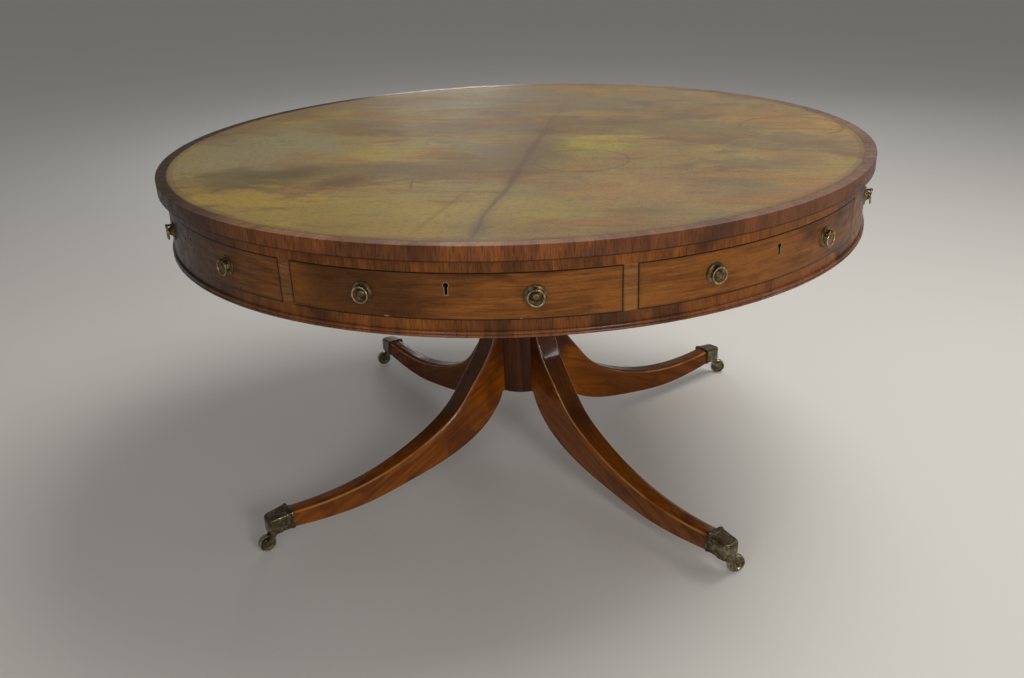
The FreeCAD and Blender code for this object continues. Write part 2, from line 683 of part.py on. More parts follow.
# The column: turned, with a slot for each leg, and an iron plate that holds the legs from below.
def make_column():
    collar_top = collar_foot + S["collar_height"]
    cap_foot = column_top - S["cap_height"]
    blank = turned_body("turned_column", [
        (0.0, S["column_bottom"]),
        (S["column_radius"], S["column_bottom"]),
        (S["column_radius"], collar_foot),
        (S["collar_radius"], collar_foot),
        (S["collar_radius"], collar_top),
        (S["shaft_radius"], collar_top),
        (S["neck_radius"], cap_foot),
        (S["cap_radius"], cap_foot),
        (S["cap_radius"], column_top),
        (0.0, column_top),
    ])
    round_rims(blank, S["collar_height"] * COLLAR_ROUND_SHARE,
               [(S["collar_radius"], collar_foot), (S["collar_radius"], collar_top)])
    round_rims(blank, S["cap_height"] / 2, [(S["cap_radius"], cap_foot)])
    round_rims(blank, S["cove_radius"], [(S["neck_radius"], cap_foot)])
    round_rims(blank, S["column_round"], [(S["column_radius"], S["column_bottom"])])
    hole_depth = S["pin_below"] + S["flange_thickness"] - S["platform_thickness"] + OVERRUN
    cutters = [cylinder("column_bore", S["pin_radius"] + S["pin_gap"], hole_depth + OVERRUN,
                        column_top - hole_depth)]
    tongue_height = leg_top - S["dovetail_inset"] - S["column_bottom"]
    for number in range(LEGS):
        angle = LEG_ANGLE * (number + 0.5)
        cutters.append(dovetail(f"slot_{number}", S["dovetail_gap"], S["column_bottom"] - OVERRUN,
                                tongue_height + S["dovetail_gap"] + OVERRUN, angle))
        cutters.append(cylinder(f"plate_screw_hole_{number}", S["screw_radius"],
                                S["screw_length"] + OVERRUN, S["column_bottom"] - OVERRUN,
                                y=-S["screw_circle"], angle=LEG_ANGLE * number))
    node("column", cut("slotted_column", blank, *cutters))

    plate_foot = S["column_bottom"] - S["plate_thickness"]
    holes = [cylinder(f"plate_hole_{number}", S["screw_radius"], S["plate_thickness"] + OVERRUN * 2,
                      plate_foot - OVERRUN, y=-S["screw_circle"], angle=LEG_ANGLE * number)
             for number in range(LEGS)]
    plate = cylinder("plate_disc", S["plate_radius"], S["plate_thickness"], plate_foot)
    node("leg_plate", cut("plate", plate, *holes))


# A leg's side view, as shares of the way from the column to the toe, and of the way from the toe's
# level to the leg's root.
LEG_UPPER_SHARES = [(0.0, 1.0), (0.019, 0.812), (0.064, 0.595), (0.136, 0.445), (0.231, 0.277),
                    (0.348, 0.162), (0.497, 0.07), (0.675, 0.006), (0.836, -0.013), (1.0, 0.0)]
LEG_LOWER_SHARES = [(0.0, 1.0), (0.026, 0.8), (0.1, 0.504), (0.212, 0.27), (0.348, 0.115),
                    (0.497, 0.01), (0.675, -0.08), (0.836, -0.073), (1.0, 0.0)]


def toe_block(name, width, length, height, start, angle):
    """A box along the toe, from this far past the leg's shoulder, centred across and in height."""
    return block(name, width, length, height, near=S["leg_reach"] + start + length,
                 foot=S["toe_level"] - height / 2, angle=angle)


def toe_screw(name, angle):
    """The screw that comes up through the brass box into the leg's tenon."""
    foot = S["toe_level"] - S["toe_height"] / 2 - S["socket_proud"]
    return cylinder(name, S["toe_screw_radius"], S["toe_screw_length"], foot,
                    y=-(S["leg_reach"] + S["tenon_length"] / 2), angle=angle)


def leg_curve(shares, root_level, toe_level):
    """A smooth edge of the leg, from the column to the toe, and its two ends."""
    root_y, toe_y = -float(S["column_radius"]), -float(S["leg_reach"])
    root_z, toe_z = float(root_level), float(toe_level)
    points = []
    for along, up in shares:
        points.append(Vector(0, root_y + (toe_y - root_y) * along, toe_z + (root_z - toe_z) * up))
    curve = Part.BSplineCurve()
    curve.interpolate(points)
    return curve.toShape(), points[0], points[-1]


def leg_shape():
    """One leg facing -Y: its side view, cut to its taper in plan and rounded on its upper edges."""
    half_height = S["toe_height"] / 2
    upper, upper_root, upper_toe = leg_curve(LEG_UPPER_SHARES, leg_top, S["toe_level"] + half_height)
    lower, lower_root, lower_toe = leg_curve(LEG_LOWER_SHARES, S["column_bottom"],
                                             S["toe_level"] - half_height)
    inner_y = -float(S["column_radius"] - S["dovetail_depth"])
    inner_top = Vector(0, inner_y, upper_root.z)
    inner_foot = Vector(0, inner_y, lower_root.z)
    straight = Part.makePolygon([upper_root, inner_top, inner_foot, lower_root]).Edges
    straight.append(Part.makeLine(upper_toe, lower_toe))
    side = Part.Face(Part.Wire(Part.sortEdges([upper, lower] + straight)[0]))
    root, toe = float(S["leg_root_width"]) / 2, float(S["leg_toe_width"]) / 2
    side.translate(Vector(-root, 0, 0))
    slab = side.extrude(Vector(root * 2, 0, 0))
    plan = [Vector(-root, inner_y, 0), Vector(root, inner_y, 0),
            Vector(toe, upper_toe.y, 0), Vector(-toe, upper_toe.y, 0)]
    taper = Part.Face(Part.makePolygon(plan + plan[:1])).extrude(Vector(0, 0, float(leg_top)))
    leg = slab.common(taper).Solids[0]
    leg = leg.makeFillet(float(S["root_arris"]), float(S["toe_arris"]), upper_arrises(leg))
    heart = Part.makeCylinder(float(S["column_radius"]), float(S["table_height"]))
    return leg.cut(heart).Solids[0]


def upper_arrises(leg):
    """The two long curved edges along the top of a leg."""
    found = []
    for edge in leg.Edges:
        ends = edge.valueAt(edge.FirstParameter), edge.valueAt(edge.LastParameter)
        if edge.Length > float(S["leg_reach"]) and sum(end.z for end in ends) > float(leg_top):
            found.append(edge)
    return found


# The legs: each is held in the column by a dovetailed tongue, and ends in a tenon for its brass box.
def make_legs():
    tongue_height = leg_top - S["dovetail_inset"] - S["column_bottom"]
    plate_foot = S["column_bottom"] - S["plate_thickness"]
    shape = leg_shape()
    thinner = S["tenon_inset"] * 2
    screws = []
    for number, place in enumerate(LEG_PLACES):
        angle = LEG_ANGLE * (number + 0.5)
        curved = shaped(f"curved_leg_{number}", shape, angle)
        tongue = dovetail(f"tongue_{number}", NOTHING, S["column_bottom"], tongue_height, angle)
        tenon = toe_block(f"tenon_{number}", S["leg_toe_width"] - thinner, S["tenon_length"] + OVERRUN,
                          S["toe_height"] - thinner, -OVERRUN, angle)
        whole = join(f"whole_leg_{number}", curved, tongue, tenon)
        node(f"leg_{place}", cut(f"bored_leg_{number}", whole, toe_screw(f"toe_bore_{number}", angle)))
        screws.append(toe_screw(f"toe_screw_{number}", angle))
        straight = LEG_ANGLE * number
        screw = cylinder(f"plate_screw_{number}", S["screw_radius"],
                         S["screw_length"] + S["plate_thickness"], plate_foot,
                         y=-S["screw_circle"], angle=straight)
        head = cylinder(f"plate_screw_head_{number}", S["screw_radius"] * 2, S["plate_thickness"],
                        plate_foot - S["plate_thickness"], y=-S["screw_circle"], angle=straight)
        screws.append(join(f"plate_screw_whole_{number}", screw, head))
    node("base_screws", together("screws", screws))


def outward_edges(shell, angle):
    """A test for the edges at the far end of a toe's box."""
    document.recompute()
    outward = Rotation(UP, angle).multVec(OUTWARD)
    furthest = max(vertex.Point.dot(outward) for vertex in shell.Shape.Vertexes)
    reach = furthest - float(S["socket_length"]) / 2

    def at_far_end(edge):
        return all(vertex.Point.dot(outward) > reach for vertex in edge.Vertexes)

    return at_far_end


# The castors: a brass box on each toe, a fork that swivels under it, and a wheel on a riveted axle.
box_height = S["toe_height"] + S["socket_proud"] * 2
box_foot = S["toe_level"] - box_height / 2
boss_foot = box_foot - S["boss_drop"]
fork_top = boss_foot - S["running_gap"]
crown_foot = fork_top - S["fork_crown"]
pivot_line = S["leg_reach"] + S["socket_length"] - S["pintle_setback"]
axle_line = pivot_line + S["trail"]
fork_inside = S["wheel_width"] / 2 + S["fork_gap"]


def across(name, radius, half_length, angle):
    """A cylinder along the axle's line, centred on the leg."""
    return cylinder(name, radius, half_length * 2, S["wheel_radius"], x=-half_length, y=-axle_line,
                    rotation=SIDEWAYS, angle=angle)


def make_castor_box(name, angle):
    """A brass box with a lip at its mouth, a cavity for the tenon and a boss for the pintle."""
    width = S["leg_toe_width"] + S["socket_proud"] * 2
    shell = toe_block(f"{name}_shell", width, S["socket_length"], box_height, NOTHING, angle)
    shell = rounded(f"{name}_nose", shell, S["socket_nose"], outward_edges(shell, angle))
    lip = toe_block(f"{name}_lip", width + S["socket_lip"] * 2, S["lip_length"],
                    box_height + S["socket_lip"] * 2, NOTHING, angle)
    boss = cylinder(f"{name}_boss", S["boss_radius"], box_height / 2 + S["boss_drop"], boss_foot,
                    y=-pivot_line, angle=angle)
    slack = S["tenon_gap"] * 2 - S["tenon_inset"] * 2
    cavity = toe_block(f"{name}_cavity", S["leg_toe_width"] + slack,
                       S["tenon_length"] + S["tenon_gap"] + OVERRUN, S["toe_height"] + slack,
                       -OVERRUN, angle)
    bore = cylinder(f"{name}_bore", S["pintle_radius"] + S["pintle_gap"],
                    S["pintle_length"] + OVERRUN * 2, boss_foot - OVERRUN, y=-pivot_line, angle=angle)
    cast = join(f"{name}_cast", shell, lip, boss)
    return cut(f"{name}_box", cast, cavity, bore, toe_screw(f"{name}_screw_hole", angle))


def make_fork(name, angle):
    """A pintle and a crown, with an arm down each side of the wheel, and the riveted axle."""
    drop = crown_foot + S["fork_crown"] / 2 - S["wheel_radius"]
    outwards = S["trail"] - S["crown_radius"] / 2
    lean = math.atan2(float(outwards), float(drop))
    arms = []
    for side in (-1, 1):
        start = fork_inside if side > 0 else -fork_inside - S["fork_wall"]
        arms.append(cylinder(f"{name}_eye_{side + 1}", S["fork_eye"], S["fork_wall"], S["wheel_radius"],
                             x=start, y=-axle_line, rotation=SIDEWAYS, angle=angle))
        arm = add("Part::Box", f"{name}_arm_{side + 1}")
        bind(arm, "Length", S["fork_wall"])
        bind(arm, "Width", S["fork_eye"] * 2)
        bind(arm, "Height", math.hypot(float(outwards), float(drop)))
        arms.append(put(arm, start, -axle_line - S["fork_eye"] * math.cos(lean),
                        S["wheel_radius"] + S["fork_eye"] * math.sin(lean),
                        Rotation(ACROSS, -math.degrees(lean)), angle))
    half_axle = fork_inside + S["fork_wall"] + S["axle_head"]
    hole = across(f"{name}_axle_hole", S["axle_radius"], half_axle + OVERRUN, angle)
    above = cylinder(f"{name}_above", S["crown_radius"] * 2, S["fork_eye"] * 2, fork_top, y=-pivot_line,
                     angle=angle)
    cheeks = cut(f"{name}_cheeks", join(f"{name}_arms", *arms), hole, above)
    crown = cylinder(f"{name}_crown", S["crown_radius"], S["fork_crown"], crown_foot, y=-pivot_line,
                     angle=angle)
    pintle = cylinder(f"{name}_pintle", S["pintle_radius"], S["pintle_length"] + S["fork_crown"],
                      crown_foot, y=-pivot_line, angle=angle)
    fork = join(f"{name}_fork", crown, pintle, cheeks)
    axle = across(f"{name}_axle", S["axle_radius"], half_axle, angle)
    return together(f"{name}_fork_and_axle", [fork, axle])


def make_wheel(name, angle):
    tread = across(f"{name}_tread", S["wheel_radius"], S["wheel_width"] / 2, angle)
    tread = rounded(f"{name}_round_tread", tread, S["wheel_round"],
                    lambda edge: isinstance(edge.Curve, Part.Circle))
    bore = across(f"{name}_bore", S["axle_radius"] + S["axle_gap"], S["wheel_width"] / 2 + OVERRUN, angle)
    return cut(f"{name}_bored", tread, bore)


def swivelled(piece, angle, turn):
    """Turn a fork or a wheel about the pin of its castor."""
    pin_x, pin_y = math.sin(math.radians(angle)), -math.cos(math.radians(angle))
    cosine, sine = math.cos(math.radians(turn)), math.sin(math.radians(turn))
    piece.Placement = Placement(Vector(), Rotation(UP, turn))
    bind(piece, "Placement.Base.x", pivot_line * (pin_x - pin_x * cosine + pin_y * sine))
    bind(piece, "Placement.Base.y", pivot_line * (pin_y - pin_x * sine - pin_y * cosine))
    return piece


def make_castors():
    for number, (place, turn) in enumerate(zip(LEG_PLACES, CASTOR_TURNS)):
        angle = LEG_ANGLE * (number + 0.5)
        node(f"castor_box_{place}", make_castor_box(f"socket_{number}", angle))
        node(f"castor_fork_{place}", swivelled(make_fork(f"fork_{number}", angle), angle, turn))
        node(f"castor_wheel_{place}", swivelled(make_wheel(f"wheel_{number}", angle), angle, turn))


def check_and_write():
    """Stop if any object failed or any piece isn't a sound solid, and then write every piece."""
    document.recompute()
    for thing in document.Objects:
        if "Invalid" in thing.State or "Error" in thing.State:
            raise RuntimeError(f"{thing.Name} failed: {thing.State}")
    os.makedirs("parts", exist_ok=True)
    for thing in NODES:
        shape = thing.Shape
        if shape.isNull() or not shape.isValid() or not shape.Solids:
            raise RuntimeError(f"{thing.Label} isn't a sound solid")
        shape.exportStep(f"parts/{thing.Label}.step")
        box = shape.BoundBox
        print(f"{thing.Label}: {len(shape.Solids)} solids, {shape.Volume / 1000:.1f} cm3, "
              f"z {box.ZMin:.2f} to {box.ZMax:.2f}")
    print(len(NODES), "pieces written")


make_top()
make_frieze()
make_drum_carcass()
make_bays()
make_turning_gear()
make_column()
make_legs()
make_castors()
check_and_write()
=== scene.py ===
# %% [markdown]
# # A drum table, dressed
#
# The table is a round library table of about 1820. A drum with eight bays turns on a column with four
# curved legs. Its pieces come in at their real size from the frame, and this lesson gives them their
# finishes, paints the marks on the leather, and models the small brass pieces more finely.

import json
import math

import bmesh
import bpy
from mathutils import Matrix, Vector

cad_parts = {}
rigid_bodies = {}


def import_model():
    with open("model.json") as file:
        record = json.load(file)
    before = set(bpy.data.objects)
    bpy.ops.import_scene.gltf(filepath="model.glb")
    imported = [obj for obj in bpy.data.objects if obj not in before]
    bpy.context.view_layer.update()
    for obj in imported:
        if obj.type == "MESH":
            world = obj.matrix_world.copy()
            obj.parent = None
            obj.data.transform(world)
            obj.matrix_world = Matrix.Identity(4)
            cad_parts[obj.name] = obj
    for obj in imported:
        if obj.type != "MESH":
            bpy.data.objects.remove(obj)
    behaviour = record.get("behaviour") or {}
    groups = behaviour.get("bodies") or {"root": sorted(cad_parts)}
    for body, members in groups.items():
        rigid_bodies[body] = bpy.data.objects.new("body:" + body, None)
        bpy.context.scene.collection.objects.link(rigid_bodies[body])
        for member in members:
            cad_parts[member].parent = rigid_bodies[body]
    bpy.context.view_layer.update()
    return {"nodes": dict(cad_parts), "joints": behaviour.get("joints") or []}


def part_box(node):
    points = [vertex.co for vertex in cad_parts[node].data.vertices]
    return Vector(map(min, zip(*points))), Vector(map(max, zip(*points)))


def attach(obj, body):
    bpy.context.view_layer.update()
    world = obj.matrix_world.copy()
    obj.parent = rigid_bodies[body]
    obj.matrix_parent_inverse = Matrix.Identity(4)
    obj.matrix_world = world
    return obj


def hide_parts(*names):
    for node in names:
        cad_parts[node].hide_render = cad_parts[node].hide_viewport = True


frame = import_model()
nodes = frame["nodes"]
joints = {joint["name"]: joint for joint in frame["joints"]}
print(len(nodes), "pieces in the frame")

# %% [markdown]
# ## Sizes
#
# Every place in this lesson comes from a piece of the frame, so the finer pieces fit the plain ones.
# The boxes of a few pieces give the radii and levels of the drum.

# %% Sizes read from the frame
MM = 0.001
UP = Vector((0, 0, 1))
BAYS = 8
BAY_TURN = math.tau / BAYS

leather_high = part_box("leather_top")[1]
rim_low, rim_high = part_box("top_crossbanding")
rails_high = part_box("frieze_rails")[1]
front_low, front_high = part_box("drawer_1_front")

TOP_LEVEL = rim_high.z
RIM_RADIUS = rim_high.x
RIM_FOOT = rim_low.z
LEATHER_RADIUS = leather_high.x
FRIEZE_RADIUS = rails_high.x
FRONT_FOOT, FRONT_HEAD = front_low.z, front_high.z

# Half the width of the upright between two fronts.
STILE_HALF = FRIEZE_RADIUS * math.sin(BAY_TURN / 2 - math.asin(front_high.x / FRIEZE_RADIUS))
print("top", round(TOP_LEVEL, 3), "rim", round(RIM_RADIUS, 3), "frieze", round(FRIEZE_RADIUS, 3))

# %% [markdown]
# ## Camera
#
# The photograph was taken a little above eye level for a seated person, from just over two metres. The
# place and angles below come from the ellipses that the rim, frieze and bead make in the picture, so the
# render can be laid over it. The camera's three axes are worked out and put in its matrix.

# %% Place the camera
CAMERA_PLACE = Vector((0.3292, -2.1145, 1.2204))
CAMERA_HEADING = math.radians(-9.424)
CAMERA_PITCH = math.radians(23.42)
CAMERA_ROLL = math.radians(-2.284)
CAMERA_LENS = 34.4
SENSOR_WIDTH = 36.0

forward = Vector((
    math.sin(CAMERA_HEADING) * math.cos(CAMERA_PITCH),
    math.cos(CAMERA_HEADING) * math.cos(CAMERA_PITCH),
    -math.sin(CAMERA_PITCH),
))
level_right = Vector((math.cos(CAMERA_HEADING), -math.sin(CAMERA_HEADING), 0))
level_up = level_right.cross(forward)
right = math.cos(CAMERA_ROLL) * level_right + math.sin(CAMERA_ROLL) * level_up
above = -math.sin(CAMERA_ROLL) * level_right + math.cos(CAMERA_ROLL) * level_up

bpy.ops.object.camera_add()
camera = bpy.context.object
camera.name = "camera"
camera.data.lens = CAMERA_LENS
camera.data.sensor_width = SENSOR_WIDTH
camera.matrix_world = Matrix((
    (right.x, above.x, -forward.x, CAMERA_PLACE.x),
    (right.y, above.y, -forward.y, CAMERA_PLACE.y),
    (right.z, above.z, -forward.z, CAMERA_PLACE.z),
    (0, 0, 0, 1),
))
bpy.context.scene.camera = camera
bpy.context.scene.view_settings.view_transform = "Standard"

# %% [markdown]
# ## Light and floor
#
# Old polish shows its depth only when something bright is mirrored in it, so the table stands between soft
# lamps. A wide one hangs above at the right, and one at the front right lights the fronts and the legs. A
# weak one far behind is mirrored in the leather, and a low bulb lights the table's back. Two narrow ones
# draw the bright lines along the arrises of the legs.
#
# The floor is a plain sheet, because the table is what counts. It is paler for rays that come straight
# from the camera or a mirror than for light that bounces up from it, so the picture is bright and the
# table isn't washed out. The sky behind has the tone that the floor takes far away, so no edge shows
# between them.

# %% Floor
FLOOR_SPAN = 400.0
FLOOR_TONE = (0.56, 0.55, 0.535)
SEEN_FLOOR_TONE = (0.66, 0.655, 0.64)
FLOOR_GLOW = 0.05
FLOOR_ROUGHNESS = 0.8
WORLD_TONE = (0.86, 0.83, 0.79)
WORLD_STRENGTH = 0.19
SEEN_RAYS = ("Is Camera Ray", "Is Glossy Ray", "Is Transmission Ray")

# The Mix node's sockets for numbers and colours share their names, so the colour ones go by number.
MIX_SHARE, MIX_FIRST, MIX_SECOND, MIX_RESULT = 0, 6, 7, 2


def select_none():
    """Operators act on all that is selected, so each step starts with nothing selected."""
    if bpy.context.object and bpy.context.object.mode != "OBJECT":
        bpy.ops.object.mode_set(mode="OBJECT")
    bpy.ops.object.select_all(action="DESELECT")


def seen_or_lighting(tree, seen, lighting):
    """One colour for rays that show a surface, and another for the light that it sends on."""
    path = tree.nodes.new("ShaderNodeLightPath")
    share = path.outputs[SEEN_RAYS[0]]
    for name in SEEN_RAYS[1:]:
        either = tree.nodes.new("ShaderNodeMath")
        either.operation = "MAXIMUM"
        tree.links.new(share, either.inputs[0])
        tree.links.new(path.outputs[name], either.inputs[1])
        share = either.outputs[0]
    mix = tree.nodes.new("ShaderNodeMix")
    mix.data_type = "RGBA"
    tree.links.new(share, mix.inputs[MIX_SHARE])
    mix.inputs[MIX_FIRST].default_value = (*lighting, 1)
    mix.inputs[MIX_SECOND].default_value = (*seen, 1)
    return mix.outputs[MIX_RESULT]


select_none()
bpy.ops.mesh.primitive_plane_add(size=FLOOR_SPAN)
floor = bpy.context.object
floor.name = "floor"
floor_finish = bpy.data.materials.new("pale_floor")
floor_finish.use_nodes = True
floor_tree = floor_finish.node_tree
floor_shader = floor_tree.nodes["Principled BSDF"]
paint = seen_or_lighting(floor_tree, SEEN_FLOOR_TONE, FLOOR_TONE)
floor_tree.links.new(paint, floor_shader.inputs["Base Color"])
glow = seen_or_lighting(floor_tree, [part * FLOOR_GLOW for part in WORLD_TONE], (0, 0, 0))
floor_tree.links.new(glow, floor_shader.inputs["Emission Color"])
floor_shader.inputs["Emission Strength"].default_value = 1.0
floor_shader.inputs["Roughness"].default_value = FLOOR_ROUGHNESS
floor.data.materials.append(floor_finish)

# %% Lamps
LAMP_AIM = Vector((0, 0, 0.55))
DAYLIGHT = (1.0, 0.95, 0.87)
WARM_LIGHT = (1.0, 0.94, 0.86)
COOL_LIGHT = (0.86, 0.93, 1.0)
GLINT_LIGHT = (1.0, 0.97, 0.92)
LAMPS = (
    # name, place, width, height, power, tint
    ("window_lamp", (1.3, 0.7, 3.4), 2.2, 2.2, 82, DAYLIGHT),
    ("front_lamp", (2.0, -3.2, 1.6), 0.9, 0.9, 36, WARM_LIGHT),
    ("back_wall_glow", (0.3, 4.2, 2.5), 3.4, 2.6, 10, COOL_LIGHT),
    ("front_glint", (-0.75, -3.3, 1.5), 0.35, 1.1, 9, GLINT_LIGHT),
    ("right_glint", (3.1, -0.35, 1.3), 0.22, 1.1, 5, GLINT_LIGHT),
)
BULB_PLACE = (-0.9, 3.4, 1.0)
BULB_RADIUS = 0.4
BULB_POWER = 30


def add_lamp(name, place, width, height, power, tint):
    """A soft lamp that points at the table."""
    bpy.ops.object.light_add(type="AREA", location=place)
    lamp = bpy.context.object
    lamp.name = name
    lamp.data.shape = "RECTANGLE"
    lamp.data.size = width
    lamp.data.size_y = height
    lamp.data.energy = power
    lamp.data.color = tint
    lamp.rotation_euler = (LAMP_AIM - Vector(place)).to_track_quat("-Z", "Y").to_euler()


for lamp_values in LAMPS:
    add_lamp(*lamp_values)

bpy.ops.object.light_add(type="POINT", location=BULB_PLACE)
back_bulb = bpy.context.object
back_bulb.name = "back_bulb"
back_bulb.data.energy = BULB_POWER
back_bulb.data.shadow_soft_size = BULB_RADIUS
back_bulb.visible_camera = False

world = bpy.data.worlds.new("room")
bpy.context.scene.world = world
world.use_nodes = True
sky = world.node_tree.nodes["Background"]
sky_light = [part * WORLD_STRENGTH for part in WORLD_TONE]
far_floor = [light * pale + tint * FLOOR_GLOW
             for light, pale, tint in zip(sky_light, SEEN_FLOOR_TONE, WORLD_TONE)]
sky_colour = seen_or_lighting(world.node_tree, far_floor, sky_light)
world.node_tree.links.new(sky_colour, sky.inputs["Color"])
sky.inputs["Strength"].default_value = 1.0

# %% [markdown]
# ## Writing a finish
#
# A finish is a small network of nodes. Each step below adds one node, sets its plain values and joins its
# other inputs to nodes that are already there, so a finish reads as a list of steps. Most steps lay a tint
# over the colour so far, where some pattern is strong. All patterns start from Object coordinates, which
# are metres here, so a grain has its real width.

# %% Node helpers
class Finish:
    """One material, built step by step. A step returns the output that later steps read."""

    def __init__(self, name, roughness=0.4, **shader_values):
        self.material = bpy.data.materials.new(name)
        self.material.use_nodes = True
        self.tree = self.material.node_tree
        self.shader = self.tree.nodes["Principled BSDF"]
        self.shader.inputs["Roughness"].default_value = roughness
        for socket, value in shader_values.items():
            self.shader.inputs[socket.replace("_", " ")].default_value = value
        self.place = self.add("ShaderNodeTexCoord", "Object")

    def add(self, kind, output, inputs=None, **settings):
        node = self.tree.nodes.new(kind)
        for name, value in settings.items():
            setattr(node, name, value)
        for name, value in (inputs or {}).items():
            socket = node.inputs[name]
            if isinstance(value, bpy.types.NodeSocket):
                self.tree.links.new(value, socket)
            else:
                socket.default_value = value
        return node.outputs[output]

    def math(self, operation, first, second=0.0):
        return self.add("ShaderNodeMath", 0, {0: first, 1: second}, operation=operation)

    def plus(self, first, second):
        return self.math("ADD", first, second)

    def minus(self, first, second):
        return self.math("SUBTRACT", first, second)

    def times(self, first, second):
        return self.math("MULTIPLY", first, second)

    def squares(self, x, y):
        """The sum of two squares."""
        return self.plus(self.times(x, x), self.times(y, y))

    def length(self, x, y):
        """The length of a level line, from its two parts."""
        return self.math("SQRT", self.squares(x, y))

    def between(self, value, low, high, to_low=0.0, to_high=1.0):
        """Stretch a value smoothly from one span to another, and stop at its ends."""
        return self.add("ShaderNodeMapRange", "Result", {
            "Value": value, "From Min": low, "From Max": high, "To Min": to_low, "To Max": to_high,
        }, interpolation_type="SMOOTHSTEP")

    def noise(self, place, scale, detail=4.0, roughness=0.55, distortion=0.0):
        return self.add("ShaderNodeTexNoise", "Fac", {
            "Vector": place, "Scale": scale, "Detail": detail, "Roughness": roughness,
            "Distortion": distortion,
        })

    def stretched(self, place, amounts, shift=(0, 0, 0)):
        inputs = {"Vector": place, "Scale": amounts, "Location": shift}
        return self.add("ShaderNodeMapping", "Vector", inputs)

    def mix(self, share, first, second):
        """Mix two colours. The share and the colours may be outputs of earlier steps."""
        node = self.tree.nodes.new("ShaderNodeMix")
        node.data_type = "RGBA"
        for number, value in ((MIX_SHARE, share), (MIX_FIRST, first), (MIX_SECOND, second)):
            socket = node.inputs[number]
            if isinstance(value, bpy.types.NodeSocket):
                self.tree.links.new(value, socket)
            else:
                socket.default_value = value
        return node.outputs[MIX_RESULT]

    def over(self, colour, tint, value, low, high, share=1.0):
        """Lay a tint over a colour where a value runs from low to high, up to a share."""
        return self.mix(self.between(value, low, high, 0.0, share), colour, tint)

    def split(self, vector):
        node = self.tree.nodes.new("ShaderNodeSeparateXYZ")
        self.tree.links.new(vector, node.inputs[0])
        return node.outputs["X"], node.outputs["Y"], node.outputs["Z"]

    def joined(self, x, y, z):
        return self.add("ShaderNodeCombineXYZ", "Vector", {"X": x, "Y": y, "Z": z})

    def bump(self, height, distance, strength):
        """A normal that follows small heights. The distance is how deep they are, in metres."""
        inputs = {"Height": height, "Distance": distance, "Strength": strength}
        return self.add("ShaderNodeBump", "Normal", inputs)

    def use(self, colour, roughness, normal, metallic=None):
        """Join the last steps to the shader, and return the finished material."""
        links = {"Base Color": colour, "Roughness": roughness, "Normal": normal, "Metallic": metallic}
        for name, value in links.items():
            if value is not None:
                self.tree.links.new(value, self.shader.inputs[name])
        return self.material


def tone(red, green, blue):
    """A colour as it looks on screen, from 0 to 255, in the linear light that shaders count in."""
    def linear(value):
        share = value / 255
        return share / 12.92 if share <= 0.04045 else ((share + 0.055) / 1.055) ** 2.4

    return (linear(red), linear(green), linear(blue), 1)


def dress(finish, names):
    """Give CAD pieces a finish."""
    for name in names:
        slots = nodes[name].data.materials
        slots.clear()
        slots.append(finish)


def place_on_drum(finish):
    """Coordinates that follow the drum: where a point's direction meets the frieze's circle (X and Y),
    its height, its distance from the axis and its turn round it."""
    x, y, z = finish.split(finish.place)
    distance = finish.length(x, y)
    share = finish.math("DIVIDE", FRIEZE_RADIUS, finish.math("MAXIMUM", distance, MM))
    turn = finish.math("ARCTAN2", y, x)
    return finish.times(x, share), finish.times(y, share), z, distance, turn


def off_upright(finish, turn):
    """A share of a bay: 0 in the middle of an upright, and 0.5 in the middle of a front."""
    bay = finish.plus(finish.math("DIVIDE", turn, BAY_TURN), 0.25 * BAYS)
    return finish.math("ABSOLUTE", finish.minus(finish.math("FRACT", bay), 0.5))


def near_front_edge(finish, distance, turn, z):
    """How close a point of the frieze is to the joint round a drawer front, in metres."""
    angle = finish.times(off_upright(finish, turn), BAY_TURN)
    sideways = finish.times(distance, finish.math("SINE", angle))
    inside = finish.minus(sideways, STILE_HALF)
    inside = finish.math("MINIMUM", inside, finish.minus(z, FRONT_FOOT))
    inside = finish.math("MINIMUM", inside, finish.minus(FRONT_HEAD, z))
    return finish.math("ABSOLUTE", inside)


# %% [markdown]
# ## Crossbanded mahogany
#
# The border, the rim's edge and the rails are veneered with short pieces whose grain runs across the
# band. On the drum that means along the radius on top and upright on the edge. Both come from one trick:
# the pattern is squeezed hard round the drum and stretched along radius and height together. The veneer
# was cut from several sheets, so each short piece has a tone of its own. The pieces' joints shift by a
# noise, because no two were cut to one width.

# %% Crossbanding
WOOD_SPECULAR = 0.18
# Dark joints round the fronts, and the painted shadow under the rim.
JOINT_DIRT_AND_RIM_SHADOW = tone(26, 13, 7)
# Painted shade on the left of the drum: its tone, and where on X it starts and where it is full.
PAINTED_SHADE_TONE = tone(38, 27, 23)
PAINTED_SHADE_START = -0.22
PAINTED_SHADE_FULL = -0.6
RIM_PIECES = 52
RAIL_PIECES = 44
BEAD_PIECES = 20

# Each veneer has a light, a middle and a dark tone, and a shade for its pores.
RAIL_TONES = (tone(155, 92, 36), tone(125, 73, 29), tone(62, 38, 22), tone(42, 23, 11))
BEAD_TONES = (tone(150, 92, 52), tone(116, 66, 36), tone(82, 44, 24), tone(54, 29, 16))
FADED_RIM_TONES = (tone(160, 120, 86), tone(132, 92, 67), tone(102, 72, 58), tone(86, 57, 43))
RED_RIM_TONES = (tone(154, 92, 48), tone(122, 70, 36), tone(68, 44, 33), tone(46, 26, 16))


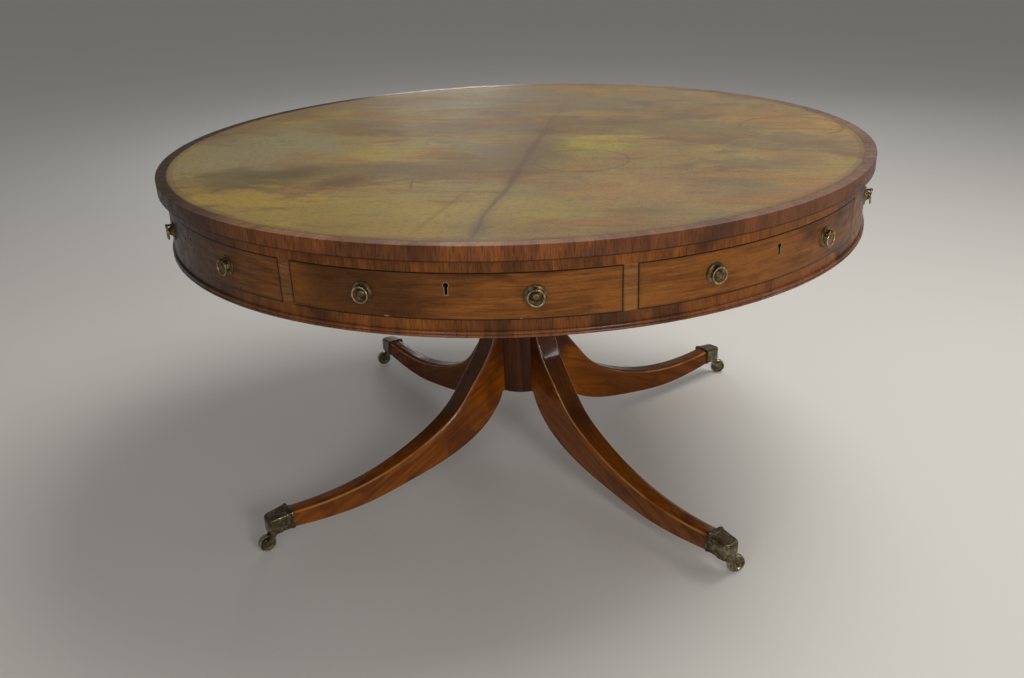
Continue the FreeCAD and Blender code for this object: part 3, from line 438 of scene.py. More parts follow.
def crossbanding(finish, pieces_round, light, middle, dark, shade):
    """The colour and fine grain of a band of short pieces, from its four tones."""
    across_x, across_y, z, distance, turn = place_on_drum(finish)
    along = finish.plus(z, distance)
    grain_place = finish.joined(across_x, across_y, finish.times(along, 0.12))
    fine = finish.noise(grain_place, 420, detail=5, roughness=0.65)
    broad = finish.noise(grain_place, 46, detail=3)
    shift = finish.noise(finish.joined(across_x, across_y, 0.0), 2.2, detail=1)
    round_place = finish.plus(finish.times(turn, pieces_round / math.tau), finish.times(shift, 6.0))
    piece = finish.math("FLOOR", round_place)
    piece_tone = finish.add("ShaderNodeTexWhiteNoise", "Value", {"W": piece}, noise_dimensions="1D")
    to_joint = finish.math("ABSOLUTE", finish.minus(finish.math("FRACT", round_place), 0.5))
    smoky = finish.noise(finish.joined(across_x, across_y, finish.times(z, 0.6)), 8, detail=4)

    colour = finish.mix(finish.between(broad, 0.36, 0.66), middle, light)
    colour = finish.over(colour, dark, piece_tone, 0.5, 1.0, 0.4)
    colour = finish.over(colour, light, piece_tone, 0.5, 0.0, 0.35)
    colour = finish.over(colour, dark, smoky, 0.48, 0.68, 0.85)
    colour = finish.over(colour, shade, fine, 0.42, 0.7, 0.6)
    colour = finish.over(colour, shade, to_joint, 0.485, 0.5, 0.45)
    return colour, fine


def painted_left_shade(finish, colour):
    """Painted shade: the left of the drum is browner and darker, on the side away from the lamps."""
    x = finish.split(finish.place)[0]
    return finish.over(colour, PAINTED_SHADE_TONE, x, PAINTED_SHADE_START, PAINTED_SHADE_FULL, 0.9)


def band_finish(name, pieces_round, tones, roughness=0.36, coat=0.06):
    """Crossbanding for the rails and the bead, with dark joints round the fronts and a painted shadow
    under the rim.
    """
    finish = Finish(name, roughness=roughness, Coat_Weight=coat, Coat_Roughness=0.18,
                    Specular_IOR_Level=WOOD_SPECULAR)
    colour, fine = crossbanding(finish, pieces_round, *tones)
    z, distance, turn = place_on_drum(finish)[2:]
    joint = near_front_edge(finish, distance, turn, z)
    colour = finish.over(colour, JOINT_DIRT_AND_RIM_SHADOW, joint, 1.8 * MM, 0.4 * MM, 0.75)
    # Painted shadow under the rim's overhang, along the top of the upper rail.
    colour = finish.over(colour, JOINT_DIRT_AND_RIM_SHADOW, z, RIM_FOOT - 3.5 * MM, RIM_FOOT - 0.5 * MM, 0.85)
    # Painted shade on the left of the drum.
    colour = painted_left_shade(finish, colour)
    smears = finish.between(finish.noise(finish.place, 60), 0.3, 0.7, roughness - 0.06, roughness + 0.1)
    return finish.use(colour, smears, finish.bump(fine, 0.0004, 0.35))


dress(band_finish("rail_crossbanding", RAIL_PIECES, RAIL_TONES), ["frieze_rails"])
bead_mahogany = band_finish("bead_mahogany", BEAD_PIECES, BEAD_TONES, roughness=0.26, coat=0.5)
dress(bead_mahogany, ["bead_moulding"])

# %% [markdown]
# The border on top has faded to a pale grey-brown under two centuries of daylight, while the rim's edge
# below it has kept its red. Both are one band of veneer over the corner, so one finish holds both sets of
# tones, and the direction of the face says which of them shows.

# %% The border and the rim's edge
def border_finish(name):
    finish = Finish(name, roughness=0.36, Coat_Weight=0.06, Coat_Roughness=0.25,
                    Specular_IOR_Level=WOOD_SPECULAR)
    faded = crossbanding(finish, RIM_PIECES, *FADED_RIM_TONES)[0]
    red, fine = crossbanding(finish, RIM_PIECES, *RED_RIM_TONES)
    facing = finish.split(finish.add("ShaderNodeNewGeometry", "Normal"))[2]
    colour = finish.mix(finish.between(facing, 0.45, 0.95), red, faded)
    x, _, z = finish.split(finish.place)
    # Painted shade: the border and the rim's edge grow darker towards the right of the drum.
    colour = finish.over(colour, tone(84, 58, 44), x, 0.12, 0.62, 0.55)
    # Painted shadow along the foot of the rim's edge, above the frieze.
    colour = finish.over(colour, JOINT_DIRT_AND_RIM_SHADOW, z, RIM_FOOT + 3 * MM, RIM_FOOT + 0.5 * MM, 0.7)
    roughness = finish.between(finish.noise(finish.place, 60), 0.3, 0.7, 0.3, 0.48)
    # The return adds painted shade on the left of the drum.
    return finish.use(painted_left_shade(finish, colour), roughness, finish.bump(fine, 0.0004, 0.35))


dress(border_finish("border_crossbanding"), ["top_crossbanding"])

# %% [markdown]
# ## Mahogany with the grain along the front
#
# A drawer front is one sheet of veneer with its grain round the drum. The same drum coordinates are used
# the other way: stretched round the drum and squeezed in height, with slow clouds of orange and dark. The
# uprights between the bays are crossbanded too, so their grain also runs round the drum. The front drawer
# has lost three small chips of veneer along its foot.

# %% Drawer fronts
FRONT_TONES = (tone(154, 96, 38), tone(117, 68, 24), tone(70, 40, 16), tone(58, 30, 9))
UPRIGHT_TONES = (tone(158, 108, 56), tone(126, 80, 40), tone(78, 50, 27), tone(54, 30, 13))

# Each chip: its place on X, its level, half its length and half its height.
CHIPS = (
    (-0.270, 0.6466, 3.5 * MM, 1.0 * MM),
    (-0.100, 0.6464, 4.2 * MM, 1.1 * MM),
    (0.115, 0.6463, 2.5 * MM, 0.8 * MM),
)
CHIP_TONE = tone(176, 124, 84)


def front_finish(name, light, middle, dark, shade, chips=()):
    finish = Finish(name, roughness=0.34, Coat_Weight=0.06, Coat_Roughness=0.22,
                    Specular_IOR_Level=WOOD_SPECULAR)
    across_x, across_y, z, distance, turn = place_on_drum(finish)

    # The smaller the share, the longer a pattern is drawn out round the drum.
    grain_place, cloud_place, pore_place = (
        finish.joined(finish.times(across_x, share), finish.times(across_y, share), z)
        for share in (0.07, 0.45, 0.16)
    )
    fine = finish.noise(grain_place, 520, detail=5, roughness=0.7, distortion=0.2)
    streak = finish.noise(grain_place, 120, detail=4, roughness=0.6, distortion=0.6)
    cloud = finish.noise(cloud_place, 14, detail=3, distortion=0.5)
    wide_cloud = finish.noise(finish.place, 3.2, detail=2)
    pore = finish.noise(pore_place, 900, detail=2, roughness=0.8)
    colour = finish.mix(finish.between(streak, 0.34, 0.68), middle, light)
    colour = finish.over(colour, light, cloud, 0.5, 0.66, 0.75)
    colour = finish.over(colour, dark, cloud, 0.47, 0.3, 0.85)
    colour = finish.over(colour, dark, wide_cloud, 0.47, 0.33, 0.75)
    colour = finish.over(colour, shade, fine, 0.46, 0.72, 0.5)
    colour = finish.over(colour, shade, pore, 0.56, 0.72, 0.55)
    colour = finish.over(colour, light, pore, 0.42, 0.3, 0.3)
    joint = near_front_edge(finish, distance, turn, z)
    colour = finish.over(colour, dark, joint, 6 * MM, 1 * MM, 0.3)
    colour = finish.over(colour, JOINT_DIRT_AND_RIM_SHADOW, joint, 1.5 * MM, 0.4 * MM, 0.85)

    x = finish.split(finish.place)[0]
    for chip_x, chip_level, half_length, half_height in chips:
        off_x = finish.math("DIVIDE", finish.minus(x, chip_x), half_length)
        off_z = finish.math("DIVIDE", finish.minus(z, chip_level), half_height)
        colour = finish.over(colour, CHIP_TONE, finish.squares(off_x, off_z), 1.3, 0.6)
    # Painted shade on the left of the drum.
    colour = painted_left_shade(finish, colour)
    roughness = finish.between(finish.noise(finish.place, 50), 0.3, 0.7, 0.28, 0.46)
    return finish.use(colour, roughness, finish.bump(fine, 0.0003, 0.3))


front_mahogany = front_finish("front_mahogany", *FRONT_TONES)
dress(front_mahogany, [f"drawer_{number}_front" for number in (2, 3, 4)] + ["dummy_fronts"])
dress(front_finish("chipped_front_mahogany", *FRONT_TONES, chips=CHIPS), ["drawer_1_front"])
dress(front_finish("upright_mahogany", *UPRIGHT_TONES), ["frieze_uprights"])

# %% [markdown]
# ## Polished legs and column
#
# The legs are solid mahogany under many coats of polish. Painted shade darkens them near the column, on
# the faces that look up under the drum and on the back legs, so the lower stretch of the front legs stays
# orange, and a painted highlight runs along the upper arrises. The grain follows the leg, so its
# coordinates are distance from the column along the leg, and height and width across it. An arris is where
# the surface looks neither up nor straight to the leg's side. The back legs have lost most of their
# polish, so they mirror less.

# %% Legs and column
LEG_PLACES = ("front_right", "back_right", "back_left", "front_left")
POLISH_IOR = 1.5
FULL_POLISH = 0.7
WORN_POLISH = 0.1


def leg_finish(name, coat):
    finish = Finish(name, roughness=0.3, Coat_Weight=coat, Coat_IOR=POLISH_IOR, Coat_Roughness=0.08,
                    Specular_IOR_Level=0.06)
    x, y, z = finish.split(finish.place)
    distance = finish.length(x, y)
    sideways = finish.minus(finish.math("ABSOLUTE", x), finish.math("ABSOLUTE", y))
    run = finish.minus(distance, z)
    rise = finish.plus(distance, finish.times(z, 2.2))
    grain_place = finish.joined(finish.times(run, 0.06), sideways, finish.times(rise, 0.5))
    fine = finish.noise(grain_place, 380, detail=5, roughness=0.7, distortion=0.3)
    streak = finish.noise(grain_place, 70, detail=4, distortion=0.8)
    cloud = finish.noise(finish.place, 11, detail=3)
    colour = finish.mix(finish.between(streak, 0.32, 0.68), tone(120, 62, 6), tone(158, 89, 9))
    colour = finish.over(colour, tone(86, 38, 8), cloud, 0.5, 0.7, 0.6)
    colour = finish.over(colour, tone(64, 28, 6), fine, 0.45, 0.7, 0.45)
    # Painted shade from the drum above, patchy and darker towards the top of the leg.
    drum_shade_band = finish.between(z, 0.13, 0.34)
    patchy = finish.plus(drum_shade_band, finish.between(cloud, 0.3, 0.7, -0.25, 0.25))
    colour = finish.over(colour, tone(54, 26, 15), patchy, 0.1, 1.0, 0.8)
    normal_x, normal_y, facing = finish.split(finish.add("ShaderNodeNewGeometry", "Normal"))
    # Painted shade on the faces that look up under the drum, darker towards the top.
    shade_upwards = finish.between(z, 0.05, 0.22, 0.15, 0.88)
    upper = finish.times(finish.between(facing, 0.3, 0.8), shade_upwards)
    colour = finish.mix(upper, colour, tone(48, 27, 19))
    # Painted shade: the back legs are darker, in the drum's shadow.
    colour = finish.over(colour, tone(66, 32, 16), y, 0.05, 0.2, 0.5)

    # How far the surface looks to the side of a leg that runs along a diagonal.
    across = finish.minus(finish.times(finish.math("SIGN", x), normal_y),
                          finish.times(finish.math("SIGN", y), normal_x))
    across = finish.times(finish.math("ABSOLUTE", across), math.sqrt(0.5))
    # Painted highlight: a pale line along the upper arrises of the legs, where the polish mirrors the
    # lamps.
    arris = finish.times(finish.between(across, 0.5, 0.68), finish.between(across, 0.88, 0.72))
    arris = finish.times(arris, finish.between(facing, 0.05, 0.2, 0.0, 0.75))
    arris = finish.times(arris, finish.between(cloud, 0.35, 0.6, 0.35, 1.0))
    colour = finish.mix(arris, colour, tone(204, 148, 96))
    roughness = finish.between(cloud, 0.3, 0.7, 0.2, 0.34)
    return finish.use(colour, roughness, finish.bump(fine, 0.0003, 0.25))


def column_finish(name):
    finish = Finish(name, roughness=0.34, Coat_Weight=0.08, Coat_Roughness=0.2, Specular_IOR_Level=0.15)
    grain_place = finish.stretched(finish.place, (1, 1, 0.07))
    fine = finish.noise(grain_place, 420, detail=5, roughness=0.7)
    streak = finish.noise(grain_place, 60, detail=3, distortion=0.5)
    colour = finish.mix(finish.between(streak, 0.35, 0.65), tone(61, 33, 19), tone(86, 47, 25))
    colour = finish.over(colour, tone(38, 20, 12), fine, 0.45, 0.7, 0.5)
    roughness = finish.between(streak, 0.3, 0.7, 0.28, 0.42)
    return finish.use(colour, roughness, finish.bump(fine, 0.0003, 0.3))


for name, coat, side in (("leg_mahogany", FULL_POLISH, "front"),
                         ("dull_leg_mahogany", WORN_POLISH, "back")):
    dress(leg_finish(name, coat), [f"leg_{place}" for place in LEG_PLACES if side in place])
dress(column_finish("column_mahogany"), ["column", "bearing_block"])

# %% [markdown]
# ## Plain woods inside
#
# The core, the boards and the drawer boxes were never polished. Pine and oak show broad growth lines
# and gather dust, so they are pale, dull and streaked. A board's grain runs level along its length, so the
# pattern changes fast only upwards and across the board. Two drawers slide one way and two the other, so
# the oak is written for both.

# %% Unpolished woods
PINE_TONES = (tone(150, 112, 72), tone(98, 66, 40))
OAK_TONES = (tone(164, 124, 80), tone(118, 84, 52))
DUST_TONE = tone(120, 104, 84)


def plain_wood(name, light, dark, across):
    """Unpolished wood, whose grain changes fast upwards and along the level axis named by across."""
    finish = Finish(name, roughness=0.75)
    x, y, z = finish.split(finish.place)
    growth = finish.plus(z, finish.times(x if across == "x" else y, 0.7))
    grain_place = finish.joined(finish.times(x, 0.06), finish.times(y, 0.06), growth)
    fine = finish.noise(grain_place, 300, detail=4, roughness=0.7)
    broad = finish.noise(grain_place, 45, detail=3, distortion=1.2)
    colour = finish.mix(finish.between(broad, 0.3, 0.7), dark, light)
    colour = finish.over(colour, dark, fine, 0.5, 0.75, 0.5)
    dust = finish.noise(finish.place, 6, detail=2)
    colour = finish.over(colour, DUST_TONE, dust, 0.5, 0.8, 0.4)
    roughness = finish.between(fine, 0.3, 0.7, 0.65, 0.85)
    return finish.use(colour, roughness, finish.bump(fine, 0.0005, 0.5))


PINE_NODES = ["top_board", "drum_bottom", "centre_block", "drawer_guides"]
dress(plain_wood("old_pine", *PINE_TONES, "y"), PINE_NODES)
for across, drawers in (("x", (1, 3)), ("y", (2, 4))):
    drawer_oak = plain_wood(f"drawer_oak_{across}", *OAK_TONES, across)
    dress(drawer_oak, [f"drawer_{number}_box" for number in drawers])

# %% [markdown]
# ## Old brass and iron
#
# The brass hasn't been cleaned for decades: a brown-green skin covers it, with bright metal where hands
# and shoes rub it. The skin is rougher and less metallic than the rubbed metal. The keyholes lie in the
# middle of the fronts, and their linings are paler, because keys rub them.

# %% Metals
OLD_DIRT = tone(54, 46, 32)
KEYHOLE_TONE = tone(158, 142, 106)


def old_brass(name, skin_tones, bright, rubbed, keyholes=False):
    """Brass under an old skin. A share of it is rubbed bright, and the keyholes can be pale too."""
    finish = Finish(name, roughness=0.35)
    skin = finish.noise(finish.place, 130, detail=4, roughness=0.55)
    cloud = finish.noise(finish.place, 40, detail=2)
    touched = finish.plus(skin, finish.times(cloud, 0.6))
    wear = finish.between(touched, 0.72, 1.05, 0.0, rubbed)
    colour = finish.mix(finish.between(skin, 0.3, 0.7), *skin_tones)
    colour = finish.mix(wear, colour, bright)
    dirt = finish.between(cloud, 0.48, 0.3)
    colour = finish.mix(finish.times(dirt, 0.6 - rubbed * 0.3), colour, OLD_DIRT)
    if keyholes:
        turn = place_on_drum(finish)[4]
        colour = finish.over(colour, KEYHOLE_TONE, off_upright(finish, turn), 0.47, 0.478)
    roughness = finish.between(wear, 0.0, 1.0, 0.4, 0.22)
    metallic = finish.between(dirt, 0.0, 1.0, 0.95, 0.8)
    return finish.use(colour, roughness, finish.bump(skin, 0.0003, 0.3), metallic)


PLATE_SKIN = (tone(92, 76, 50), tone(122, 104, 74))
RING_SKIN = (tone(138, 122, 92), tone(178, 162, 128))
CASTOR_SKIN = (tone(86, 79, 58), tone(108, 99, 77))
TREAD_SKIN = (tone(126, 122, 104), tone(160, 156, 138))
plate_brass = old_brass("plate_brass", PLATE_SKIN, tone(172, 154, 116), rubbed=0.45, keyholes=True)
ring_brass = old_brass("ring_brass", RING_SKIN, tone(206, 192, 158), rubbed=0.9)
castor_brass = old_brass("castor_brass", CASTOR_SKIN, tone(160, 150, 124), rubbed=0.8)
tread_brass = old_brass("tread_brass", TREAD_SKIN, tone(196, 192, 174), rubbed=0.8)
dress(plate_brass, [name for name in nodes if "brassware" in name])
dress(ring_brass, [name for name in nodes if "_ring_" in name])
dress(castor_brass, [name for name in nodes if name.startswith("castor_")])


def iron_finish(name):
    finish = Finish(name, roughness=0.5, Metallic=0.8)
    rust = finish.noise(finish.place, 90, detail=4)
    colour = finish.mix(finish.between(rust, 0.45, 0.7), tone(52, 48, 46), tone(92, 60, 44))
    return finish.use(colour, finish.between(rust, 0.3, 0.7, 0.4, 0.75), finish.bump(rust, 0.0004, 0.5))


dress(iron_finish("dull_iron"), ["pivot_pin", "leg_plate", "base_screws"])

# %% [markdown]
# ## The leather
#
# The writing leather was dyed green and has faded to olive and ochre, in patches where it was wiped,
# leant on and lit. A wide grey patch across the back is a painted sheen, where the leather mirrors the
# room. A tooled line is pressed in near its edge. One long crease crosses it from the front, with a
# fainter one beside it, both drawn as dark lines of painted shade with a painted shadow beside the long
# one, and two round things left rings. Each mark is painted by its distance from a named place, so it can
# be moved by hand.

# %% Marks on the leather
LONG_CREASE = (Vector((0.039, -0.72)), Vector((0.07, 0.64)))
SIDE_CREASE = (Vector((-0.057, -0.68)), Vector((0.0, -0.28)))
SHORT_SCRATCH = (Vector((-0.141, -0.36)), Vector((-0.118, -0.45)))
# The tone of the painted shade in the creases.
CREASE_SHADE_TONE = tone(96, 72, 58)

# A middle and a radius for each round mark.
RING_MARKS = ((Vector((0.166, -0.2)), 0.093), (Vector((0.6, 0.12)), 0.11))
TOOLED_INSETS = (8.5 * MM, 11.5 * MM)

# Each patch: its middle, half its spans on X and Y, its colour, and how strong that is.
PATCHES = (
    ((-0.54, -0.10), (0.14, 0.22), tone(146, 138, 108), 0.8),
    ((-0.46, -0.37), (0.12, 0.08), tone(94, 86, 58), 0.6),
    ((-0.17, -0.29), (0.17, 0.07), tone(100, 78, 54), 0.6),
    ((0.17, -0.06), (0.07, 0.07), tone(162, 152, 64), 0.7),
    ((-0.12, -0.60), (0.26, 0.09), tone(164, 142, 68), 0.6),
    ((-0.42, -0.50), (0.16, 0.07), tone(178, 150, 70), 0.7),
    # This wide grey patch across the back is a painted sheen, the room mirrored in the leather at a
    # grazing angle.
    ((0.0, 0.48), (0.5, 0.16), tone(108, 106, 96), 0.5),
    ((0.03, -0.15), (0.13, 0.12), tone(98, 82, 64), 0.6),
    ((0.29, -0.41), (0.12, 0.08), tone(160, 122, 86), 0.5),
    ((0.44, -0.37), (0.08, 0.06), tone(106, 96, 76), 0.5),
    ((-0.12, 0.13), (0.36, 0.10), tone(104, 86, 64), 0.55),
    ((0.38, 0.12), (0.16, 0.08), tone(110, 98, 72), 0.5),
)


def distance_from_line(finish, x, y, start, end):
    """How far a point is to the side of a line, and how far along it, as outputs in metres and a share."""
    along = (end - start).normalized()
    from_x = finish.minus(x, start.x)
    from_y = finish.minus(y, start.y)
    side = finish.minus(finish.times(from_x, along.y), finish.times(from_y, along.x))
    run = finish.plus(finish.times(from_x, along.x), finish.times(from_y, along.y))
    return finish.math("ABSOLUTE", side), finish.math("DIVIDE", run, (end - start).length)


def crease(finish, x, y, line, narrow, wide, widest):
    """A dark crease that widens towards a place along it and fades at its far end."""
    waver = finish.times(finish.minus(finish.noise(finish.place, 7, detail=2), 0.5), 0.03)
    side, share = distance_from_line(finish, finish.plus(x, waver), y, *line)
    off_widest = finish.math("ABSOLUTE", finish.minus(share, widest))
    swell = finish.between(off_widest, 0.3, 0.0, narrow, wide)
    soft = finish.between(finish.math("DIVIDE", side, swell), 1.0, 0.25)
    ends = finish.times(finish.between(share, -0.04, 0.05), finish.between(share, 1.05, 0.35))
    return finish.times(soft, ends)


# %% Leather finish
def leather_finish(name):
    finish = Finish(name, roughness=0.6, Specular_IOR_Level=0.32)
    x, y, _ = finish.split(finish.place)
    slow = finish.noise(finish.place, 2.6, detail=4, roughness=0.62, distortion=0.4)
    cloud = finish.noise(finish.stretched(finish.place, (0.8, 1.3, 1), (3, 1, 0)), 6, detail=5,
                         roughness=0.62, distortion=0.3)
    second = finish.noise(finish.stretched(finish.place, (0.9, 1.2, 1), (11, 5, 2)), 4.4, detail=5,
                          roughness=0.6, distortion=0.4)
    wiped = finish.noise(finish.stretched(finish.place, (0.3, 3.2, 1), (1, 7, 0)), 16, detail=4,
                         roughness=0.7, distortion=0.3)
    speck = finish.noise(finish.place, 110, detail=4, roughness=0.7)
    colour = finish.mix(finish.between(slow, 0.38, 0.62), tone(134, 110, 74), tone(150, 131, 80))
    colour = finish.over(colour, tone(154, 112, 72), cloud, 0.5, 0.62, 0.75)
    colour = finish.over(colour, tone(102, 96, 70), cloud, 0.47, 0.35, 0.75)
    colour = finish.over(colour, tone(114, 92, 70), second, 0.53, 0.66, 0.85)
    colour = finish.over(colour, tone(162, 142, 70), second, 0.44, 0.32, 0.8)
    colour = finish.over(colour, tone(112, 94, 60), wiped, 0.44, 0.7, 0.5)
    warp = finish.times(finish.minus(cloud, 0.5), 0.5)
    for (patch_x, patch_y), (half_x, half_y), patch_tone, share in PATCHES:
        dx = finish.math("DIVIDE", finish.plus(finish.minus(x, patch_x), warp), half_x)
        dy = finish.math("DIVIDE", finish.plus(finish.minus(y, patch_y), warp), half_y)
        colour = finish.over(colour, patch_tone, finish.squares(dx, dy), 2.2, 0.0, share)
    fine_speck = finish.noise(finish.place, 260, detail=3, roughness=0.75)
    colour = finish.over(colour, tone(106, 88, 56), speck, 0.46, 0.72, 0.5)
    colour = finish.over(colour, tone(98, 82, 54), fine_speck, 0.5, 0.72, 0.4)
    colour = finish.over(colour, tone(168, 150, 92), fine_speck, 0.45, 0.28, 0.3)

    for middle, radius in RING_MARKS:
        dx = finish.minus(x, middle.x)
        dy = finish.minus(y, middle.y)
        off = finish.math("ABSOLUTE", finish.minus(finish.length(dx, dy), radius))
        faint = finish.between(cloud, 0.35, 0.6, 0.1, 0.5)
        mark = finish.times(finish.between(off, 6 * MM, 2 * MM), faint)
        colour = finish.mix(mark, colour, tone(96, 78, 56))

    # Each row: a line, its narrowest and widest half width, where along it that is, its strength and its
    # colour. The first is a painted shadow on both sides of the long crease, the next two are the creases
    # darkened with painted shade, and the last is a scratch.
    crease_shadow_strength = finish.between(second, 0.3, 0.7, 0.15, 0.5)
    for line, narrow, wide, widest, strength, crease_tone in (
            (LONG_CREASE, 0.022, 0.05, 0.45, crease_shadow_strength, tone(106, 84, 62)),
            (LONG_CREASE, 0.006, 0.013, 0.4, 0.6, CREASE_SHADE_TONE),
            (SIDE_CREASE, 0.007, 0.016, 0.8, 0.28, CREASE_SHADE_TONE),
            (SHORT_SCRATCH, 0.003, 0.004, 0.5, 0.6, tone(78, 76, 62))):
        mark = crease(finish, x, y, line, narrow, wide, widest)
        colour = finish.mix(finish.times(mark, strength), colour, crease_tone)

    to_edge = finish.minus(LEATHER_RADIUS, finish.length(x, y))
    grime = finish.between(to_edge, 0.011, 0.0)
    colour = finish.mix(finish.times(grime, 0.6), colour, tone(92, 66, 46))
    pressed = 0.0
    for inset in TOOLED_INSETS:
        off = finish.math("ABSOLUTE", finish.minus(to_edge, inset))
        pressed = finish.math("MAXIMUM", pressed, finish.between(off, 1.1 * MM, 0.4 * MM))
    colour = finish.mix(finish.times(pressed, 0.45), colour, tone(104, 82, 46))
    hide = finish.add("ShaderNodeTexVoronoi", "Distance", {"Vector": finish.place, "Scale": 700.0})
    height = finish.plus(hide, finish.times(speck, 0.6))
    height = finish.minus(height, finish.times(pressed, 1.6))
    roughness = finish.between(cloud, 0.3, 0.7, 0.52, 0.66)
    return finish.use(colour, roughness, finish.bump(height, 0.0006, 0.35))


dress(leather_finish("writing_leather"), ["leather_top"])

# %% [markdown]
# ## Modelling by hand, in code
#
# The small brass pieces are modelled with the same operators that the buttons in edit mode call. An
# operator acts on whatever is selected, so each step first picks its faces or edges by a test on their
# place or direction. Turned pieces repeat one move: extrude the end face, then scale it, as a lathe
# follows an outline.

# %% Modelling helpers
def pick(piece, kind, wanted):
    """In edit mode, select only the faces or edges that pass a test."""
    bpy.ops.mesh.select_mode(type="FACE" if kind == "faces" else "EDGE")
    bpy.ops.mesh.select_all(action="DESELECT")
    mesh = bmesh.from_edit_mesh(piece.data)
    for part in [part for part in getattr(mesh, kind) if wanted(part)]:
        part.select_set(True)
    bmesh.update_edit_mesh(piece.data)


def turned_piece(name, outline, sides):
    """A turned piece on Z. The outline is a list of (radius, level), and both ends are closed."""
    (first_radius, first_level), (second_radius, second_level) = outline[:2]
    select_none()
    bpy.ops.mesh.primitive_cone_add(
        vertices=sides, radius1=first_radius, radius2=second_radius, depth=second_level - first_level,
        location=(0, 0, (first_level + second_level) / 2))
    piece = bpy.context.object
    piece.name = name
    bpy.ops.object.transform_apply(location=True, rotation=True, scale=True)
    bpy.ops.object.mode_set(mode="EDIT")
    pick(piece, "faces", lambda face: face.normal.z > 0.99 and len(face.verts) == sides)
    radius, level = second_radius, second_level
    for next_radius, next_level in outline[2:]:
        bpy.ops.mesh.extrude_region_move(TRANSFORM_OT_translate={"value": (0, 0, next_level - level)})
        share = next_radius / radius
        bpy.ops.transform.resize(value=(share, share, 1), center_override=(0, 0, next_level))
        radius, level = next_radius, next_level
    bpy.ops.mesh.select_all(action="SELECT")
    bpy.ops.mesh.normals_make_consistent(inside=False)
    bpy.ops.object.mode_set(mode="OBJECT")
    bpy.ops.object.shade_smooth_by_angle(angle=math.radians(40))
    return piece


def select_only(piece, *others):
    """Select a piece and perhaps others, and make it the one that the next operator works on."""
    select_none()
    for each in (piece, *others):
        each.select_set(True)
    bpy.context.view_layer.objects.active = piece


def another(piece, name):
    """A copy with a mesh of its own."""
    select_only(piece)
    bpy.ops.object.duplicate()
    copy = bpy.context.object
    copy.name = name
    return copy


def settle(piece, place, body):
    """Move a piece to its place, keep that place in its mesh, and let it ride on a body."""
    select_only(piece)
    piece.matrix_world = place
    bpy.ops.object.transform_apply(location=True, rotation=True, scale=True)
    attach(piece, body)


def put_away(piece):
    """Delete a pattern piece once its copies are made."""
    select_none()
    piece.select_set(True)
    bpy.ops.object.delete()


# %% [markdown]
# ## Pull plates and rings
#
# Each handle is a cast and turned brass plate with a rib round it and a stepped boss in its middle, and a
# ring hangs round the boss from a ball at the top. The plate is turned from an outline, and sits over the
# plain plate of the frame like a skin, half a millimetre larger. The ring is thicker at its foot, where
# castings were left heavy so that it swings back down.

# %% The pattern plate
PLATE_OUTLINE = [
    (18.3, -0.6), (18.4, 1.0), (18.0, 1.7), (17.2, 1.9), (16.6, 1.65), (15.8, 1.6), (14.9, 1.6),
    (14.4, 2.0), (13.8, 2.1), (13.3, 1.8), (12.9, 2.3), (12.4, 2.8), (11.7, 2.95), (11.0, 2.7),
    (10.5, 2.1), (10.0, 1.8), (9.6, 2.0), (9.4, 2.8), (9.2, 4.4), (8.7, 5.5), (8.0, 6.0), (7.6, 6.4),
    (7.4, 7.8), (7.0, 8.5), (6.4, 8.9), (6.0, 9.3), (5.6, 9.8), (4.8, 10.3), (3.2, 10.6), (1.2, 10.75),
    (0.3, 10.76),
]
PLATE_SIDES = 72

plate_outline = [(radius * MM, level * MM) for radius, level in PLATE_OUTLINE]
pattern_plate = turned_piece("pattern_plate", plate_outline, PLATE_SIDES)
pattern_plate.data.materials.append(plate_brass)
print("plate faces", len(pattern_plate.data.polygons))

# %% The pattern ring
RING_RADIUS = 13.2 * MM
RING_WIRE = 1.4 * MM
RING_SWELL = 0.35 * MM
SWELL_STARTS = (0.2, 0.5, 0.8)

select_none()
bpy.ops.mesh.primitive_torus_add(major_radius=RING_RADIUS, minor_radius=RING_WIRE, major_segments=72,
                                 minor_segments=20)
pattern_ring = bpy.context.object
pattern_ring.name = "pattern_ring"
pattern_ring.data.materials.append(ring_brass)
bpy.ops.object.mode_set(mode="EDIT")
for depth in SWELL_STARTS:
    pick(pattern_ring, "faces", lambda face: face.calc_center_median().y < -RING_RADIUS * depth)
    bpy.ops.transform.shrink_fatten(value=RING_SWELL / len(SWELL_STARTS))
bpy.ops.object.mode_set(mode="OBJECT")
bpy.ops.object.shade_smooth()

# %% Sixteen plates and rings
# A ring's eye is this far above the middle of its plate.
EYE_RISE = 12.0 * MM


def looking(centre, level_direction):
    """A place at a centre whose Z looks along a level direction and whose Y is up."""
    out = level_direction.normalized()
    side = UP.cross(out)
    return Matrix((
        (side.x, UP.x, out.x, centre.x),
        (side.y, UP.y, out.y, centre.y),
        (side.z, UP.z, out.z, centre.z),
        (0, 0, 0, 1),
    ))


for name, joint in joints.items():
    if not name.endswith("_swing"):
        continue
    ring_name = name.removesuffix("_swing")
    eye = Vector(joint["pos_m"])
    out = Vector((eye.x, eye.y, 0)).normalized()
    plate_middle = Vector((0, 0, eye.z - EYE_RISE)) + out * FRIEZE_RADIUS
    plate = another(pattern_plate, ring_name.replace("ring", "plate"))
    settle(plate, looking(plate_middle, out), joint["parent"])
    ring = another(pattern_ring, f"{ring_name}_cast")
    settle(ring, looking(eye - UP * RING_RADIUS, out), joint["child"])
    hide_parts(ring_name)
put_away(pattern_plate)
put_away(pattern_ring)

# %% [markdown]
# ## Castor boxes and wheels
#
# A cast brass box slides over the end of each leg. Two ribs run round its mouth, its top falls a little
# towards the front, and its front corners are well rounded. The front part is a deeper block that takes
# the swivel pin. It starts as a cube, and bisecting it at named places gives the loops that the ribs and
# the block are extruded from.

